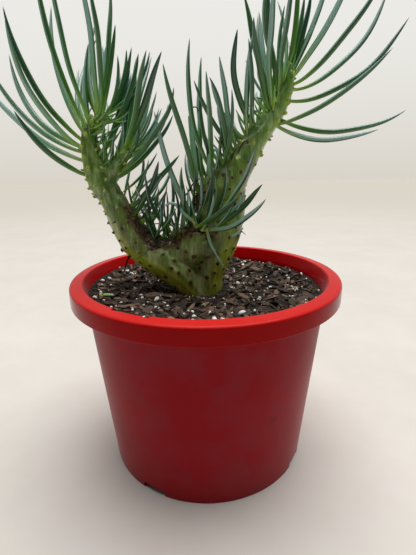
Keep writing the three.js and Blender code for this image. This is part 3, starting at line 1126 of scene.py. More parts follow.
    def _cutters(self) -> list[Object]:
        """The boxes that cut the label slot, the notches in the foot and the drains in the floor."""
        width, rise = self.notch
        drain_from, drain_to, drain_width = self.drain
        below = -self.spare
        through = self.floor_underside + self.floor + self.spare
        angle, slot_width, slot_depth, slot_bite = self.label_slot
        slot = (self.rim_inner - self.slot_reach, self.rim_inner + slot_bite)
        slot_rise = (self.height - slot_depth, self.height + self.spare)
        notch = (drain_to + 2 * self.spare, self.radius)
        cutters = [self._cutter(angle, slot, slot_width, slot_rise)]
        for angle in self.drain_angles:
            cutters.append(self._cutter(angle, notch, width, (below, rise)))
            cutters.append(self._cutter(angle, (drain_from, drain_to), drain_width, (below, through)))
        return cutters

    def build(self, material: Material) -> Object:
        """Turns the pot, cuts its notches, drains and label slot, and dresses it.

        Args:
            material: the pot's plastic.

        Returns:
            The finished pot.
        """
        obj = self._surface().to_object("red_pot", material)
        cutters = self._cutters()
        for cutter in cutters:
            cut = obj.modifiers.new("cut", "BOOLEAN")
            cut.operation = "DIFFERENCE"
            cut.solver = "EXACT"
            cut.object = cutter
        solid = bpy.data.meshes.new_from_object(obj.evaluated_get(bpy.context.evaluated_depsgraph_get()))
        obj.modifiers.clear()
        obj.data = solid
        obj.data.set_sharp_from_angle(angle=math.radians(self.crease))
        for cutter in cutters:
            bpy.data.objects.remove(cutter)
        return piece(obj, ("pot",))


# ---- potting mix


@dataclass(frozen=True)
class Litter:
    """A crowd of lumps strewn over the mix."""

    count: int
    sizes: tuple[Span, Span, Span]  # spans of the three half sizes
    rise: Span  # above the bed
    tilt: float
    shrunk: Span = (0.55, 1.0)  # share of its drawn sizes that a lump keeps


@dataclass
class PottingMix:
    """Bark and compost mix: an uneven bed under bark chips, crumbs, perlite and twigs."""

    pot: NurseryPot
    level: float = 134.0
    hollow: float = 5.0
    tilt: float = 0.022  # fall of the level for each millimetre to the right
    swells: Span = (1.1, 14.0)  # height and size
    lumps: Span = (0.7, 4.5)  # height and size
    sectors: int = 180
    rings: int = 70
    wall_gap: float = 0.7
    chips: tuple[Litter, ...] = (
        Litter(360, ((3.4, 9.0), (1.8, 4.2), (0.5, 1.1)), (0.2, 2.0), 0.3),
        Litter(900, ((1.6, 3.8), (0.8, 2.1), (0.3, 0.8)), (0.3, 2.0), 0.45),
    )
    crumbs: tuple[Litter, ...] = (Litter(2600, ((0.4, 1.2), (0.35, 0.8), (0.3, 0.6)), (0.3, 1.6), 0.8),)
    grains: tuple[Litter, ...] = (
        Litter(150, ((0.5, 1.6), (0.45, 1.3), (0.4, 1.1)), (1.0, 2.0), 0.8),
        Litter(44, ((1.4, 2.8), (1.2, 2.2), (1.0, 1.7)), (1.0, 2.0), 0.8),
    )
    twig_count: int = 110
    twig_margin: float = 9.0
    twig_rise: Span = (1.2, 2.2)
    twig_length: Span = (4, 15)
    twig_curl: float = 0.7  # spread, in radians
    twig_radius: Span = (0.16, 0.42)
    seed: int = 11

    def top(self, places: Array) -> Array:
        """Height of the bed at (n, 2) places: level at the wall, hollow round the stem, lumpy.

        The height is the level, less the tilt, less a parabola that is deepest at the stem, plus noise.

        Args:
            places: (n, 2) places seen from above.

        Returns:
            (n,) heights.
        """
        flat = np.column_stack([places, np.zeros(len(places))])
        reach = np.minimum(1, np.linalg.norm(places, axis=1) / self.pot.foot)
        rough = self.swells[0] * cloudy_noise(flat, self.swells[1], self.seed)
        rough = rough + self.lumps[0] * cloudy_noise(flat, self.lumps[1], self.seed + 7)
        return self.level - self.tilt * places[:, 0] - self.hollow * (1 - reach**2) + rough

    def _bed(self) -> Surface:
        """The bed: a round grid for its top, closed by a side and a bottom."""
        angle = 2 * math.pi * np.arange(self.sectors) / self.sectors
        corner, far_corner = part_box("potting_mix")
        low = corner.z / MM
        side = (far_corner.x - corner.x) / 2 / MM
        bottom = self.pot.wall_radius(low) - self.pot.wall - self.wall_gap
        radii = np.r_[bottom * 0.5, bottom, side, np.linspace(side, 0, self.rings + 1)[1:-1]]
        ring_places = radii[:, None, None] * np.stack([np.cos(angle), np.sin(angle)], axis=-1)
        heights = self.top(ring_places.reshape(-1, 2)).reshape(len(radii), self.sectors)
        heights[:2] = low
        body = np.concatenate([ring_places, heights[..., None]], axis=-1).reshape(-1, 3)
        crown = [[0, 0, float(self.top(np.zeros((1, 2)))[0])]]
        vertices = np.vstack([[[0, 0, low]], body, crown]) * MM
        tone = 0.15 + 0.2 * cloudy_noise(vertices / MM, 6.0, self.seed + 3)
        return Surface(vertices, *ring_faces(len(radii), self.sectors), {"tone": tone})

    def scattered(self, rng: Random, count: int, margin: float) -> Array:
        """Random places on the top, evenly spread over its disc less a margin at the wall.

        Args:
            rng: source of the places.
            count: how many.
            margin: gap to the wall, in millimetres.

        Returns:
            (count, 3) places on the bed, in millimetres.
        """
        reach = (self.pot.wall_radius(self.level) - self.pot.wall - margin) * np.sqrt(rng.random(count))
        angle = rng.uniform(0, 2 * math.pi, count)
        flat = np.stack([reach * np.cos(angle), reach * np.sin(angle)], axis=1)
        return np.column_stack([flat, self.top(flat)])

    def _crowd(self, shape: Lump, litter: Litter, rng: Random) -> Surface:
        """Lumps strewn over the bed, and kept off the wall by a gap that grows with their sizes.

        Args:
            shape: the lumps' shared shape.
            litter: how many, and their sizes, height and tilt.
            rng: source of every draw.

        Returns:
            One surface of all the lumps.
        """
        count = litter.count
        draws = np.stack([rng.uniform(low, high, count) for low, high in litter.sizes], axis=1)
        draws *= rng.uniform(*litter.shrunk, (count, 1))
        places = self.scattered(rng, count, 1.5 + litter.sizes[0][1] * 0.75)
        places[:, 2] += rng.uniform(*litter.rise, count)
        axes = lying_axes(np.tile(UP, (count, 1)), rng, litter.tilt)
        return shape.crowd(places * MM, axes, draws * MM, rng)

    def _twigs(self, rng: Random) -> Surface:
        """Thin curved twigs that lie on the bed, each of one thickness.

        Args:
            rng: source of every draw.

        Returns:
            One surface of all the twigs.
        """
        starts = self.scattered(rng, self.twig_count, self.twig_margin)
        starts[:, 2] += rng.uniform(*self.twig_rise, len(starts))
        headings = unit(rng.normal(size=starts.shape) * [1, 1, 0.08])
        lengths = rng.uniform(*self.twig_length, len(starts)) * MM
        curls = rng.normal(0, self.twig_curl, len(starts))
        paths = curling_paths(starts * MM, headings, lengths, curls, rng)
        paths[..., 2] = np.maximum(paths[..., 2], (starts[:, None, 2] - 0.5) * MM)
        thickness = rng.uniform(*self.twig_radius, (len(starts), 1)) * np.ones(paths.shape[1]) * MM
        twigs = swept(paths, thickness, thickness, 5, UP)
        twigs.values = {"tone": twigs.spread(rng.uniform(0.3, 1.0, len(starts)))}
        return twigs

    def build(self, bed: Material, bark: Material, stone: Material) -> None:
        """Makes the bed and everything strewn on it.

        Args:
            bed: fine dark compost.
            bark: bark chips, crumbs and twigs.
            stone: perlite.
        """
        piece(self._bed().to_object("mix_bed", bed), ("potting_mix",))
        rng = np.random.default_rng(self.seed)
        crowds = (
            ("bark_chips", Lump(sides=7, rings=3, squareness=0.45, ragged=0.26), self.chips, bark, False),
            ("compost_crumbs", Lump(sides=5, rings=2, squareness=0.8, ragged=0.3), self.crumbs, bark, False),
            ("perlite", Lump(sides=8, rings=5, squareness=0.7, ragged=0.3), self.grains, stone, True),
        )
        for name, shape, litters, finish, smooth in crowds:
            lumps = Surface.joined([self._crowd(shape, litter, rng) for litter in litters])
            piece(lumps.to_object(name, finish, smooth))
        piece(self._twigs(rng).to_object("mix_twigs", bark))


# ---- stem


@dataclass
class StemLines:
    """Lines inside the stem, in millimetres in the frame, that its skin and leaves are laid out by."""

    arm: tuple = (
        (-2, -1, 122), (-16, -3, 143), (-33, -4, 155), (-48, -5, 165), (-56, -6, 178), (-61.5, -7, 190),
        (-67.5, -8, 202), (-73, -8, 214), (-76, -8, 226), (-77.5, -8, 237), (-77, -8, 246), (-72, -8, 251.5),
        (-65, -8, 254.5),
    )
    fork: tuple = ((-72, -8, 208), (-65, -9, 218), (-57, -11, 225), (-51, -13, 231.5), (-48, -14, 235))
    crest: tuple = ((-40, -3, 166), (-28, -2, 168), (-16, -1, 172), (-5, -3, 178), (4, -6, 174))
    ridge: tuple = ((-5, -3, 192), (-1, -2, 205), (9, -1, 214), (19, -1, 224), (29, 0, 236), (38, 0, 248))
    lump: tuple = ((-6, -12, 181), (2, -12, 176), (5, -12, 182), (7, -10, 192))
    inner_arm: tuple = ((-37, -4, 170), (-43, -5, 182), (-50, -6, 195), (-58, -8, 206))
    right: tuple = (
        (2, -1, 124), (4, -2, 145), (9, -3, 160), (12, -3, 176), (11.5, -3, 193), (14, -3, 207),
        (22, -2, 218), (32, -1, 232), (41, 0, 245.5), (48, 0, 257), (53.5, 0, 269), (55.5, 0, 277),
    )

    def line(self, name: str, samples: int = 80) -> Array:
        """Evenly spaced places along a named line, in millimetres."""
        return along_line(np.array(getattr(self, name)), samples)

    def core(self) -> Array:
        """Places along the middle of every limb, in millimetres."""
        return np.vstack([self.line(name) for name in ("arm", "fork", "crest", "ridge", "lump", "right")])

    def distance(self, places: Array, name: str, depth: float) -> Array:
        """Distance of each place to the named line, with gaps along Y scaled by the depth."""
        gaps = (places[:, None] - self.line(name, 60)[None]) * [1.0, depth, 1.0]
        return np.min(np.linalg.norm(gaps, axis=-1), axis=1)


@dataclass(frozen=True)
class StemSurface:
    """The stem's finished skin, with the places, normals and youth of its leaf scars and buds."""

    skin: Surface
    places: Array  # millimetres
    normals: Array
    young: Array


@dataclass
class Stem:
    """The thick, flattened, forked stem, rebuilt from its CAD solid as a fine natural surface."""

    lines: StemLines
    voxel: float = 0.85
    smoothing: int = 18
    pull: float = 0.5  # share of the way that a smoothing round moves a point to its neighbours' mean
    push: float = 0.52  # share that it then moves back
    scar_gap: float = 7.6
    scar_room: Span = (0.7, 2.1)  # share of the gap that a scar keeps clear
    scar_sizes: Span = (0.65, 1.45)
    scar_tries: int = 9000
    bare_below: float = 136.5  # height under which there are no scars
    crusts: tuple[tuple[str, float], ...] = (  # lines, and how far the crust reaches from each
        ("inner_arm", 9.4), ("crest", 7.4), ("ridge", 6.0),
    )
    crust_depth: float = 0.45  # scale of the gaps along Y, so a crust reaches further to the front and back
    crust_fade: float = 4.0
    # Where the skin's flanks are painted bright lime, as painted light:
    flank_edge: Span = (-1.0, 6.5)  # distances past a limb's middle between which its flank begins
    flank_gain: float = 4.5  # how much wider the flank is at the foot
    flank_foot: Span = (150.0, 172.0)  # heights between which the wider flank ends
    flank_fade: Span = (150.0, 184.0)  # heights between which the flank grows faint
    flank_least: float = 0.25
    # heights over which the foot is painted paler, as painted light
    painted_lit_foot_heights: Span = (148.0, 186.0)
    left_of: float = -30.0  # across, where the left arm's skin begins
    young_level: Span = (190.0, 226.0)  # height of young skin on the left arm, and elsewhere
    young_fade: Span = (-14.0, 26.0)  # heights from that level between which skin turns young
    bud_from: Span = (0.1, 0.4)  # youth between which a scar turns into a bud
    # share of the young skin's pale colour that the left arm keeps, which is partly youth and partly painted
    # shade on that arm
    left_paleness_and_shade: float = 0.3
    seed: int = 5

    def _even_mesh(self) -> tuple[Array, Array]:
        """The CAD stem's surface as an even mesh: its points in millimetres and its quads."""
        node = bpy.data.objects["stem"]
        mesh = bpy.data.meshes.new("stem_copy")
        shape = bmesh.new()
        shape.from_mesh(node.data)
        bmesh.ops.remove_doubles(shape, verts=shape.verts, dist=0.00001)
        shape.to_mesh(mesh)
        shape.free()
        copy = placed("stem_copy", mesh)
        remesh = copy.modifiers.new("even", "REMESH")
        remesh.mode = "VOXEL"
        remesh.voxel_size = self.voxel * MM
        even = copy.evaluated_get(bpy.context.evaluated_depsgraph_get()).to_mesh()
        points = mesh_points(even) / MM
        corners = np.empty(len(even.loops), np.int32)
        even.loops.foreach_get("vertex_index", corners)
        bpy.data.objects.remove(copy)
        return points, corners.reshape(-1, 4)

    def _smoothed(self, points: Array, quads: Array) -> Array:
        """Points moved towards the mean of their neighbours and back again, so little volume is lost.

        Args:
            points: (n, 3) points of the mesh.
            quads: (k, 4) its faces.

        Returns:
            (n, 3) smoothed points.
        """
        sides = np.vstack([quads[:, [k, (k + 1) % 4]] for k in range(4)])
        edges = np.unique(np.sort(sides, axis=1), axis=0)
        near, far = np.vstack([edges, edges[:, ::-1]]).T
        degree = np.bincount(near, minlength=len(points))[:, None]
        for strength in (self.pull, -self.push) * self.smoothing:
            total = [np.bincount(near, points[far, k], minlength=len(points)) for k in range(3)]
            points = points + strength * (np.stack(total, axis=1) / degree - points)
        return points

    def _painted_lit_flank(self, points: Array) -> Array:
        """How far a point lies on the flanks that the stem's skin paints bright lime, as painted light: below
        the left arm and right of the right arm.

        It is an eased step across each arm's line, ragged with noise, wider at the foot and faint above it.

        Args:
            points: (n, 3) points of the skin.

        Returns:
            (n,) numbers from 0 to 1.
        """
        total = np.zeros(len(points))
        gain = self.flank_gain * fading(points[:, 2], *self.flank_foot)
        for name, side in (("arm", -1), ("right", 1)):
            line = self.lines.line(name, 50)
            near = np.linalg.norm(points[:, None] - line[None], axis=-1).argmin(axis=1)
            tangent = unit(np.gradient(line, axis=0))[near]
            offset = points - line[near]
            across = side * (offset[:, 0] * tangent[:, 2] - offset[:, 2] * tangent[:, 0])
            ragged = 2.0 * cloudy_noise(points, 12.0, self.seed + 3, 2)
            total = np.maximum(total, eased(across + ragged + gain, *self.flank_edge))
        strength = self.flank_least + (1 - self.flank_least) * fading(points[:, 2], *self.flank_fade)
        return total * strength

    def _scab(self, points: Array, normals: Array) -> Array:
        """How corky a point is: one on the upper side of the crests, fading out at each one's ragged edge.

        Args:
            points: (n, 3) points of the skin.
            normals: (n, 3) their normals.

        Returns:
            (n,) numbers from 0 to 1.
        """
        ragged = 2.2 * cloudy_noise(points, 9.0, self.seed + 4, 2)
        total = np.zeros(len(points))
        for name, reach in self.crusts:
            gap = self.lines.distance(points, name, self.crust_depth) + ragged
            total = np.maximum(total, fading(gap, reach - self.crust_fade, reach))
        return total * eased(normals @ UP, -0.7, 0.3)

    def _scar_spots(self, points: Array, scab: Array) -> Array:
        """Indices of unevenly spaced random points of the skin above the mix and off the crest.

        Args:
            points: (n, 3) points of the skin.
            scab: (n,) how corky each is.

        Returns:
            The chosen points' indices.
        """
        rng = np.random.default_rng(self.seed)
        order = rng.permutation(len(points))[: self.scar_tries]
        order = order[(points[order, 2] > self.bare_below) & (scab[order] < 0.3)]
        room = self.scar_gap * rng.uniform(*self.scar_room, len(points))
        chosen: list[int] = []
        for index in order:
            gaps = np.linalg.norm(points[chosen] - points[index], axis=1) if chosen else np.array([np.inf])
            if gaps.min() > room[index]:
                chosen.append(int(index))
        return np.array(chosen)

    def _relief(self, points: Array, scab: Array, gap: Array, budding: Array) -> Array:
        """Height of the skin over the smooth stem, in millimetres.

        It is the sum of a raised pad with a dimple at each old scar, which gives way to a narrow cone on a
        broad swelling where the scar is a bud, upright ribs of stretched noise, broad swellings, and knobs
        on the crest.

        Args:
            points: (n, 3) places on the smooth stem.
            scab: (n,) how corky each is.
            gap: (n,) distance of each to the nearest scar, over that scar's size.
            budding: (n,) how far scars have turned into buds there.

        Returns:
            (n,) heights.
        """
        pads = 0.8 * bell(gap, 2.1) - 0.3 * bell(gap, 0.9)
        buds = 1.0 * bell(gap, 1.1) + 0.35 * bell(gap, 2.6) - 0.7
        ribs = 0.9 * cloudy_noise(points * [1, 1, 0.2], 7.5, self.seed, 2)
        swellings = 0.8 * cloudy_noise(points, 17.0, self.seed + 1, 2)
        knobs = scab * (2.0 * cloudy_noise(points, 3.0, self.seed + 2, 2) + 0.2)
        bumps = (pads - 0.4) * (1 - budding) + buds * budding
        return bumps + ribs + swellings + knobs

    def build(self, material: Material) -> StemSurface:
        """Builds the stem: an even mesh, smoothed, and raised along its normals by the relief.

        Args:
            material: the stem's skin.

        Returns:
            The finished surface with its scars and buds, for the pieces that sit on it.
        """
        points, quads = self._even_mesh()
        points = self._smoothed(points, quads)
        normals = Surface(points, quads, NO_TRIANGLES).normals()
        scab = self._scab(points, normals)
        spots = self._scar_spots(points, scab)
        gap = np.full(len(points), np.inf)
        sizes = np.random.default_rng(self.seed + 9).uniform(*self.scar_sizes, len(spots))
        for index, size in zip(spots, sizes):
            gap = np.minimum(gap, np.linalg.norm(points - points[index], axis=1) / size)
        on_left = points[:, 0] < self.left_of
        young = eased(points[:, 2] - np.where(on_left, *self.young_level), *self.young_fade)
        budding = eased(young, *self.bud_from)
        points = points + normals * self._relief(points, scab, gap, budding)[:, None]
        values = {
            "scab": scab * (1 - young),
            "young": young * np.where(on_left, self.left_paleness_and_shade, 1.0),
            # painted light on the flanks
            "lit_flank": self._painted_lit_flank(points),
            # painted light on the foot
            "low": fading(points[:, 2], *self.painted_lit_foot_heights),
            "scar": bell(gap, 1.3) * (1 - budding),
            "bud": bell(gap, 1.6) * budding,
        }
        surface = Surface(points * MM, quads, NO_TRIANGLES, values)
        piece(surface.to_object("senecio_stem", material), ("stem",))
        return StemSurface(surface, points[spots], surface.normals()[spots], young[spots])


@dataclass
class StemMarks:
    """What sits on the stem's skin: dark leaf scars, tips of buds, crest scabs and dried wisps."""

    stem: StemSurface
    old_limit: float = 0.25  # youth past which a scar is a bud
    scar_sizes: tuple[Triple, Triple] = ((0.8, 0.6, 0.4), (1.45, 1.1, 1.5))  # least and greatest half sizes
    tip_sizes: tuple[Triple, Triple] = ((0.7, 0.6, 0.8), (1.3, 1.1, 1.9))
    tip_depth: float = 0.15  # how far a bud's tip is sunk
    scab_count: int = 700
    scab_size: Span = (0.25, 0.85)
    crest_wisps: int = 95
    scar_wisps: int = 40
    crest_wisp_length: Span = (4, 16)
    scar_wisp_length: Span = (1.5, 5.0)
    wisp_curl: float = 2.3  # spread, in radians
    wisp_radius: Span = (0.2, 0.5)
    seed: int = 21

    def build(self, scar: Material, bud: Material, scab: Material) -> None:
        """Places every mark.

        Args:
            scar: dark leaf scars.
            bud: yellow-green tips of buds.
            scab: corky scabs and dried wisps.
        """
        rng = np.random.default_rng(self.seed)
        old = self.stem.young < self.old_limit
        self._scars(rng, scar, old)
        self._bud_tips(rng, bud, ~old)
        self._scabs(rng, scab)
        self._wisps(rng, scab, old)

    def _scars(self, rng: Random, material: Material, chosen: Array) -> None:
        """Ragged dark cores in the pads of old leaf scars, some of them standing up as short spines.

        Args:
            rng: source of every draw.
            material: the cores' finish.
            chosen: which of the stem's scars are old.
        """
        count = int(chosen.sum())
        axes = lying_axes(self.stem.normals[chosen], rng, 0.3)
        sizes = rng.uniform(*self.scar_sizes, (count, 3)) * rng.uniform(0.6, 1.0, (count, 1))
        core = Lump(sides=9, rings=5, squareness=0.9, ragged=0.26)
        scars = core.crowd(self.stem.places[chosen] * MM, axes, sizes * MM, rng)
        piece(scars.to_object("leaf_scars", material))

    def _bud_tips(self, rng: Random, material: Material, chosen: Array) -> None:
        """Small pointed tips, leaning upwards, on the buds near the ends of the arms.

        Args:
            rng: source of every draw.
            material: the tips' finish.
            chosen: which of the stem's scars are buds.
        """
        count = int(chosen.sum())
        normals = self.stem.normals[chosen]
        axes = lying_axes(unit(normals + 0.7 * UP), rng, 0.15)
        sizes = rng.uniform(*self.tip_sizes, (count, 3))
        tip = Lump(sides=9, rings=6, squareness=1.25, ragged=0.16)
        places = self.stem.places[chosen] - self.tip_depth * normals
        piece(tip.crowd(places * MM, axes, sizes * MM, rng).to_object("leaf_buds", material))

    def _scabs(self, rng: Random, material: Material) -> None:
        """Corky crumbs crowded along the crest.

        Args:
            rng: source of every draw.
            material: the crumbs' finish.
        """
        crusted = np.flatnonzero(self.stem.skin.values["scab"] > 0.5)
        picked = rng.choice(crusted, self.scab_count, replace=False)
        places = self.stem.skin.vertices[picked]
        axes = lying_axes(self.stem.skin.normals()[picked], rng, 0.5)
        sizes = rng.uniform(*self.scab_size, (len(picked), 1)) * rng.uniform(0.5, 1.0, (len(picked), 3)) * MM
        shape = Lump(sides=6, rings=3, squareness=0.7, ragged=0.35)
        crumbs = shape.crowd(places, axes, sizes, rng)
        piece(crumbs.to_object("crest_scabs", material, smooth=False))

    def _wisps(self, rng: Random, material: Material, old: Array) -> None:
        """Shrivelled remains of old leaves: thin curled threads on scars and along the crest.

        Args:
            rng: source of every draw.
            material: the threads' finish.
            old: which of the stem's scars are old.
        """
        crusted = np.flatnonzero(self.stem.skin.values["scab"] > 0.6)
        picked = rng.choice(crusted, self.crest_wisps, replace=False)
        on_scars = rng.choice(np.flatnonzero(old), self.scar_wisps, replace=False)
        starts = np.vstack([self.stem.skin.vertices[picked], self.stem.places[on_scars] * MM])
        normals = np.vstack([self.stem.skin.normals()[picked], self.stem.normals[on_scars]])
        headings = unit(normals + 0.5 * rng.normal(size=starts.shape))
        on_crest = rng.uniform(*self.crest_wisp_length, len(picked))
        lengths = np.r_[on_crest, rng.uniform(*self.scar_wisp_length, len(on_scars))] * MM
        paths = curling_paths(starts, headings, lengths, rng.normal(0, self.wisp_curl, len(starts)), rng)
        taper = np.linspace(1.0, 0.35, paths.shape[1]) * rng.uniform(*self.wisp_radius, (len(starts), 1)) * MM
        wisps = swept(paths, taper, taper * 0.6, 5, FAN_NORMAL)
        wisps.values = {"tone": wisps.spread(rng.random(len(starts)) * 0.6)}
        piece(wisps.to_object("dried_wisps", material))


# ---- leaves


@dataclass(frozen=True)
class LeafForm:
    """The shape of a leaf: a thin neck that flares at its foot, a full middle and a drawn-out tip."""

    radius: float = 1.9
    neck: float = 0.5
    foot: float = 0.3
    foot_length: float = 0.02  # share of the length over which the foot's flare dies away
    widest: float = 0.4
    fullness: float = 3.4
    taper: float = 0.85
    flatness: float = 0.92
    groove: float = 0.17
    # the way sideways that a leaf's broad side looks, where the leaf skin paints bloom and painted light
    lean_mean: Triple = (-0.8, 0.0, 0.0)
    lean_spread: Triple = (0.7, 0.5, 0.0)
    sides: int = 14
    rings: int = 30

    def shares(self) -> Array:
        """Places of the rings from root to tip, closer together near both ends."""
        even = np.linspace(0, 1, self.rings)
        return 0.7 * even + 0.3 * (1 - np.cos(math.pi * even)) / 2

    def radii(self, share: Array) -> Array:
        """Radius at each share of the length, as a part of the full radius.

        It rises from the neck as a sine up to the widest place, stays nearly full, falls to the tip as a
        power of one minus a power of the place, and the foot adds a short flare.
        """
        rise = self.neck + (1 - self.neck) * np.sin(math.pi / 2 * np.clip(share / self.widest, 0, 1))
        past = np.clip((share - self.widest) / (1 - self.widest), 0, 1)
        fall = (1 - past**self.fullness) ** self.taper
        return rise * fall + self.foot * np.exp(-share / self.foot_length)

    def surface(self, centres: Array, scale: Array, tone: Array, rng: Random) -> Surface:
        """Smooth leaves along centre lines.

        A leaf's broad side looks up and a random way sideways, more often to the left, and the leaf skin
        paints that side pale, as bloom and painted light.

        Args:
            centres: (k, rings, 3) places in metres.
            scale: (k,) girth over the full one.
            tone: (k,) value for the skin's colour.
            rng: source of the ways the leaves face.

        Returns:
            One surface of all the leaves.
        """
        share = self.shares()
        width = self.radii(share) * self.radius * MM * scale[:, None]
        width[:, [0, -1]] = 0
        sideways = unit(rng.normal(self.lean_mean, self.lean_spread, (len(centres), 3)))
        face = unit(0.7 * UP + sideways)
        leaves = swept(centres, width, width * self.flatness, self.sides, face, self.groove)
        leaves.values["tone"] = leaves.spread(tone)
        return leaves


@dataclass(frozen=True)
class LeafCluster:
    """A crowd of smaller leaves along a line in the stem."""

    name: str
    line: str
    count: int
    along: Span
    heading: Span  # degrees in the fan at the start and the end of the stretch; 90 is up
    spread: float  # random turn of the heading, degrees
    lean: Span  # degrees towards the front
    length: Span
    hang: float = 0.06  # sag of the middle over the length
    scale: Span = (0.78, 1.02)
    tone: Span = (0.0, 1.0)


CLUSTERS = (
    LeafCluster("crest_leaves", "crest", 62, (0.0, 0.95), (108, 80), 17, (-42, 36), (18, 58),
                hang=0.07, scale=(0.55, 0.9), tone=(0.0, 0.5)),
    LeafCluster("inner_arm_leaves", "inner_arm", 15, (0.0, 1.0), (66, 54), 18, (-40, 40), (20, 48),
                scale=(0.7, 0.95)),
    LeafCluster("ridge_leaves", "ridge", 24, (0.0, 0.95), (100, 98), 12, (-42, 36), (26, 64),
                scale=(0.75, 1.0), tone=(0.0, 0.7)),
    LeafCluster("ridge_shoots", "ridge", 26, (0.45, 1.0), (120, 112), 14, (-30, 46), (8, 24),
                hang=0.05, scale=(0.55, 0.75), tone=(1.0, 2.0)),
    LeafCluster("fork_leaves", "fork", 18, (0.15, 1.0), (76, 58), 12, (-52, 38), (24, 60)),
    LeafCluster("fork_shoots", "fork", 30, (0.0, 1.0), (120, 30), 26, (-20, 62), (5, 15),
                hang=0.05, scale=(0.5, 0.7), tone=(1.6, 2.0)),
    LeafCluster("lump_leaves", "lump", 6, (0.0, 0.9), (66, 40), 12, (14, 34), (26, 42),
                hang=0.12, scale=(0.75, 0.95), tone=(0.3, 1.0)),
    LeafCluster("left_tip_leaves", "arm", 9, (0.9, 1.0), (106, 80), 8, (-58, 6), (34, 84)),
    LeafCluster("left_hook_leaves", "arm", 6, (0.93, 0.99), (50, 68), 6, (-30, 16), (34, 58), hang=0.12),
    LeafCluster("left_comb_leaves", "arm", 20, (0.74, 0.96), (60, 36), 12, (0, 44), (16, 32),
                scale=(0.5, 0.66), tone=(1.1, 1.8)),
    LeafCluster("left_tip_shoots", "arm", 36, (0.9, 1.0), (84, -10), 22, (-30, 50), (5, 16),
                hang=0.05, scale=(0.45, 0.65), tone=(1.7, 2.0)),
    LeafCluster("right_tip_leaves", "right", 12, (0.9, 1.0), (112, 74), 10, (-58, 30), (36, 84),
                scale=(0.75, 1.0), tone=(0.2, 1.4)),
    LeafCluster("right_tip_shoots", "right", 40, (0.84, 1.0), (128, 70), 18, (-40, 56), (7, 24),
                hang=0.05, scale=(0.5, 0.72), tone=(1.6, 2.0)),
    LeafCluster("left_back_leaves", "arm", 9, (0.6, 0.95), (120, 90), 18, (-80, -52), (40, 78)),
    LeafCluster("right_back_leaves", "right", 9, (0.62, 0.97), (60, 100), 18, (-80, -52), (40, 78)),
)


class StrandKind(Enum):
    """What an odd strand on the plant is made of."""

    LIVE = "leaf_skin"
    DRIED = "stem_skin"


@dataclass(frozen=True)
class Strand:
    """A single leaf, shoot or dried thread with a course of its own, in millimetres in the frame."""

    name: str
    kind: StrandKind
    radius: float
    blunt: float  # radius at the far end over the full radius
    tone: float
    course: tuple[Triple, ...]
    root: float = 0.65  # radius at the root over the full radius
    full_from: float = 0.33
    wane: float = 2.2
    closed_from: float = 0.95
    flatness: float = 0.85
    rounding: int = 7
    samples: int = 34
    sides: int = 12

    def build(self, material: Material) -> Object:
        """Carries a rounded section along the smoothed course.

        The radius rises from the root as a sine, falls to the blunt share as a power of the place, and
        closes at the far end as a quarter circle.

        Args:
            material: the strand's skin.

        Returns:
            The finished piece.
        """
        line = along_line(np.array(self.course), self.samples, self.rounding) * MM
        share = np.linspace(0, 1, self.samples)
        rise = self.root + (1 - self.root) * np.sin(math.pi / 2 * np.clip(share / self.full_from, 0, 1))
        fall = 1 - (1 - self.blunt) * share**self.wane
        past = np.clip((share - self.closed_from) / (1 - self.closed_from), 0, 1)
        radius = (self.radius * MM * rise * fall * np.sqrt(1 - past**2))[None]
        radius[:, 0] = 0
        # The broad side looks up and to the front; on leaf skin it takes the pale bloom and painted light.
        body = swept(line[None], radius, radius * self.flatness, self.sides, unit(UP - FAN_NORMAL))
        body.values["tone"] = np.full(len(body.vertices), self.tone)
        return piece(body.to_object(self.name, material))


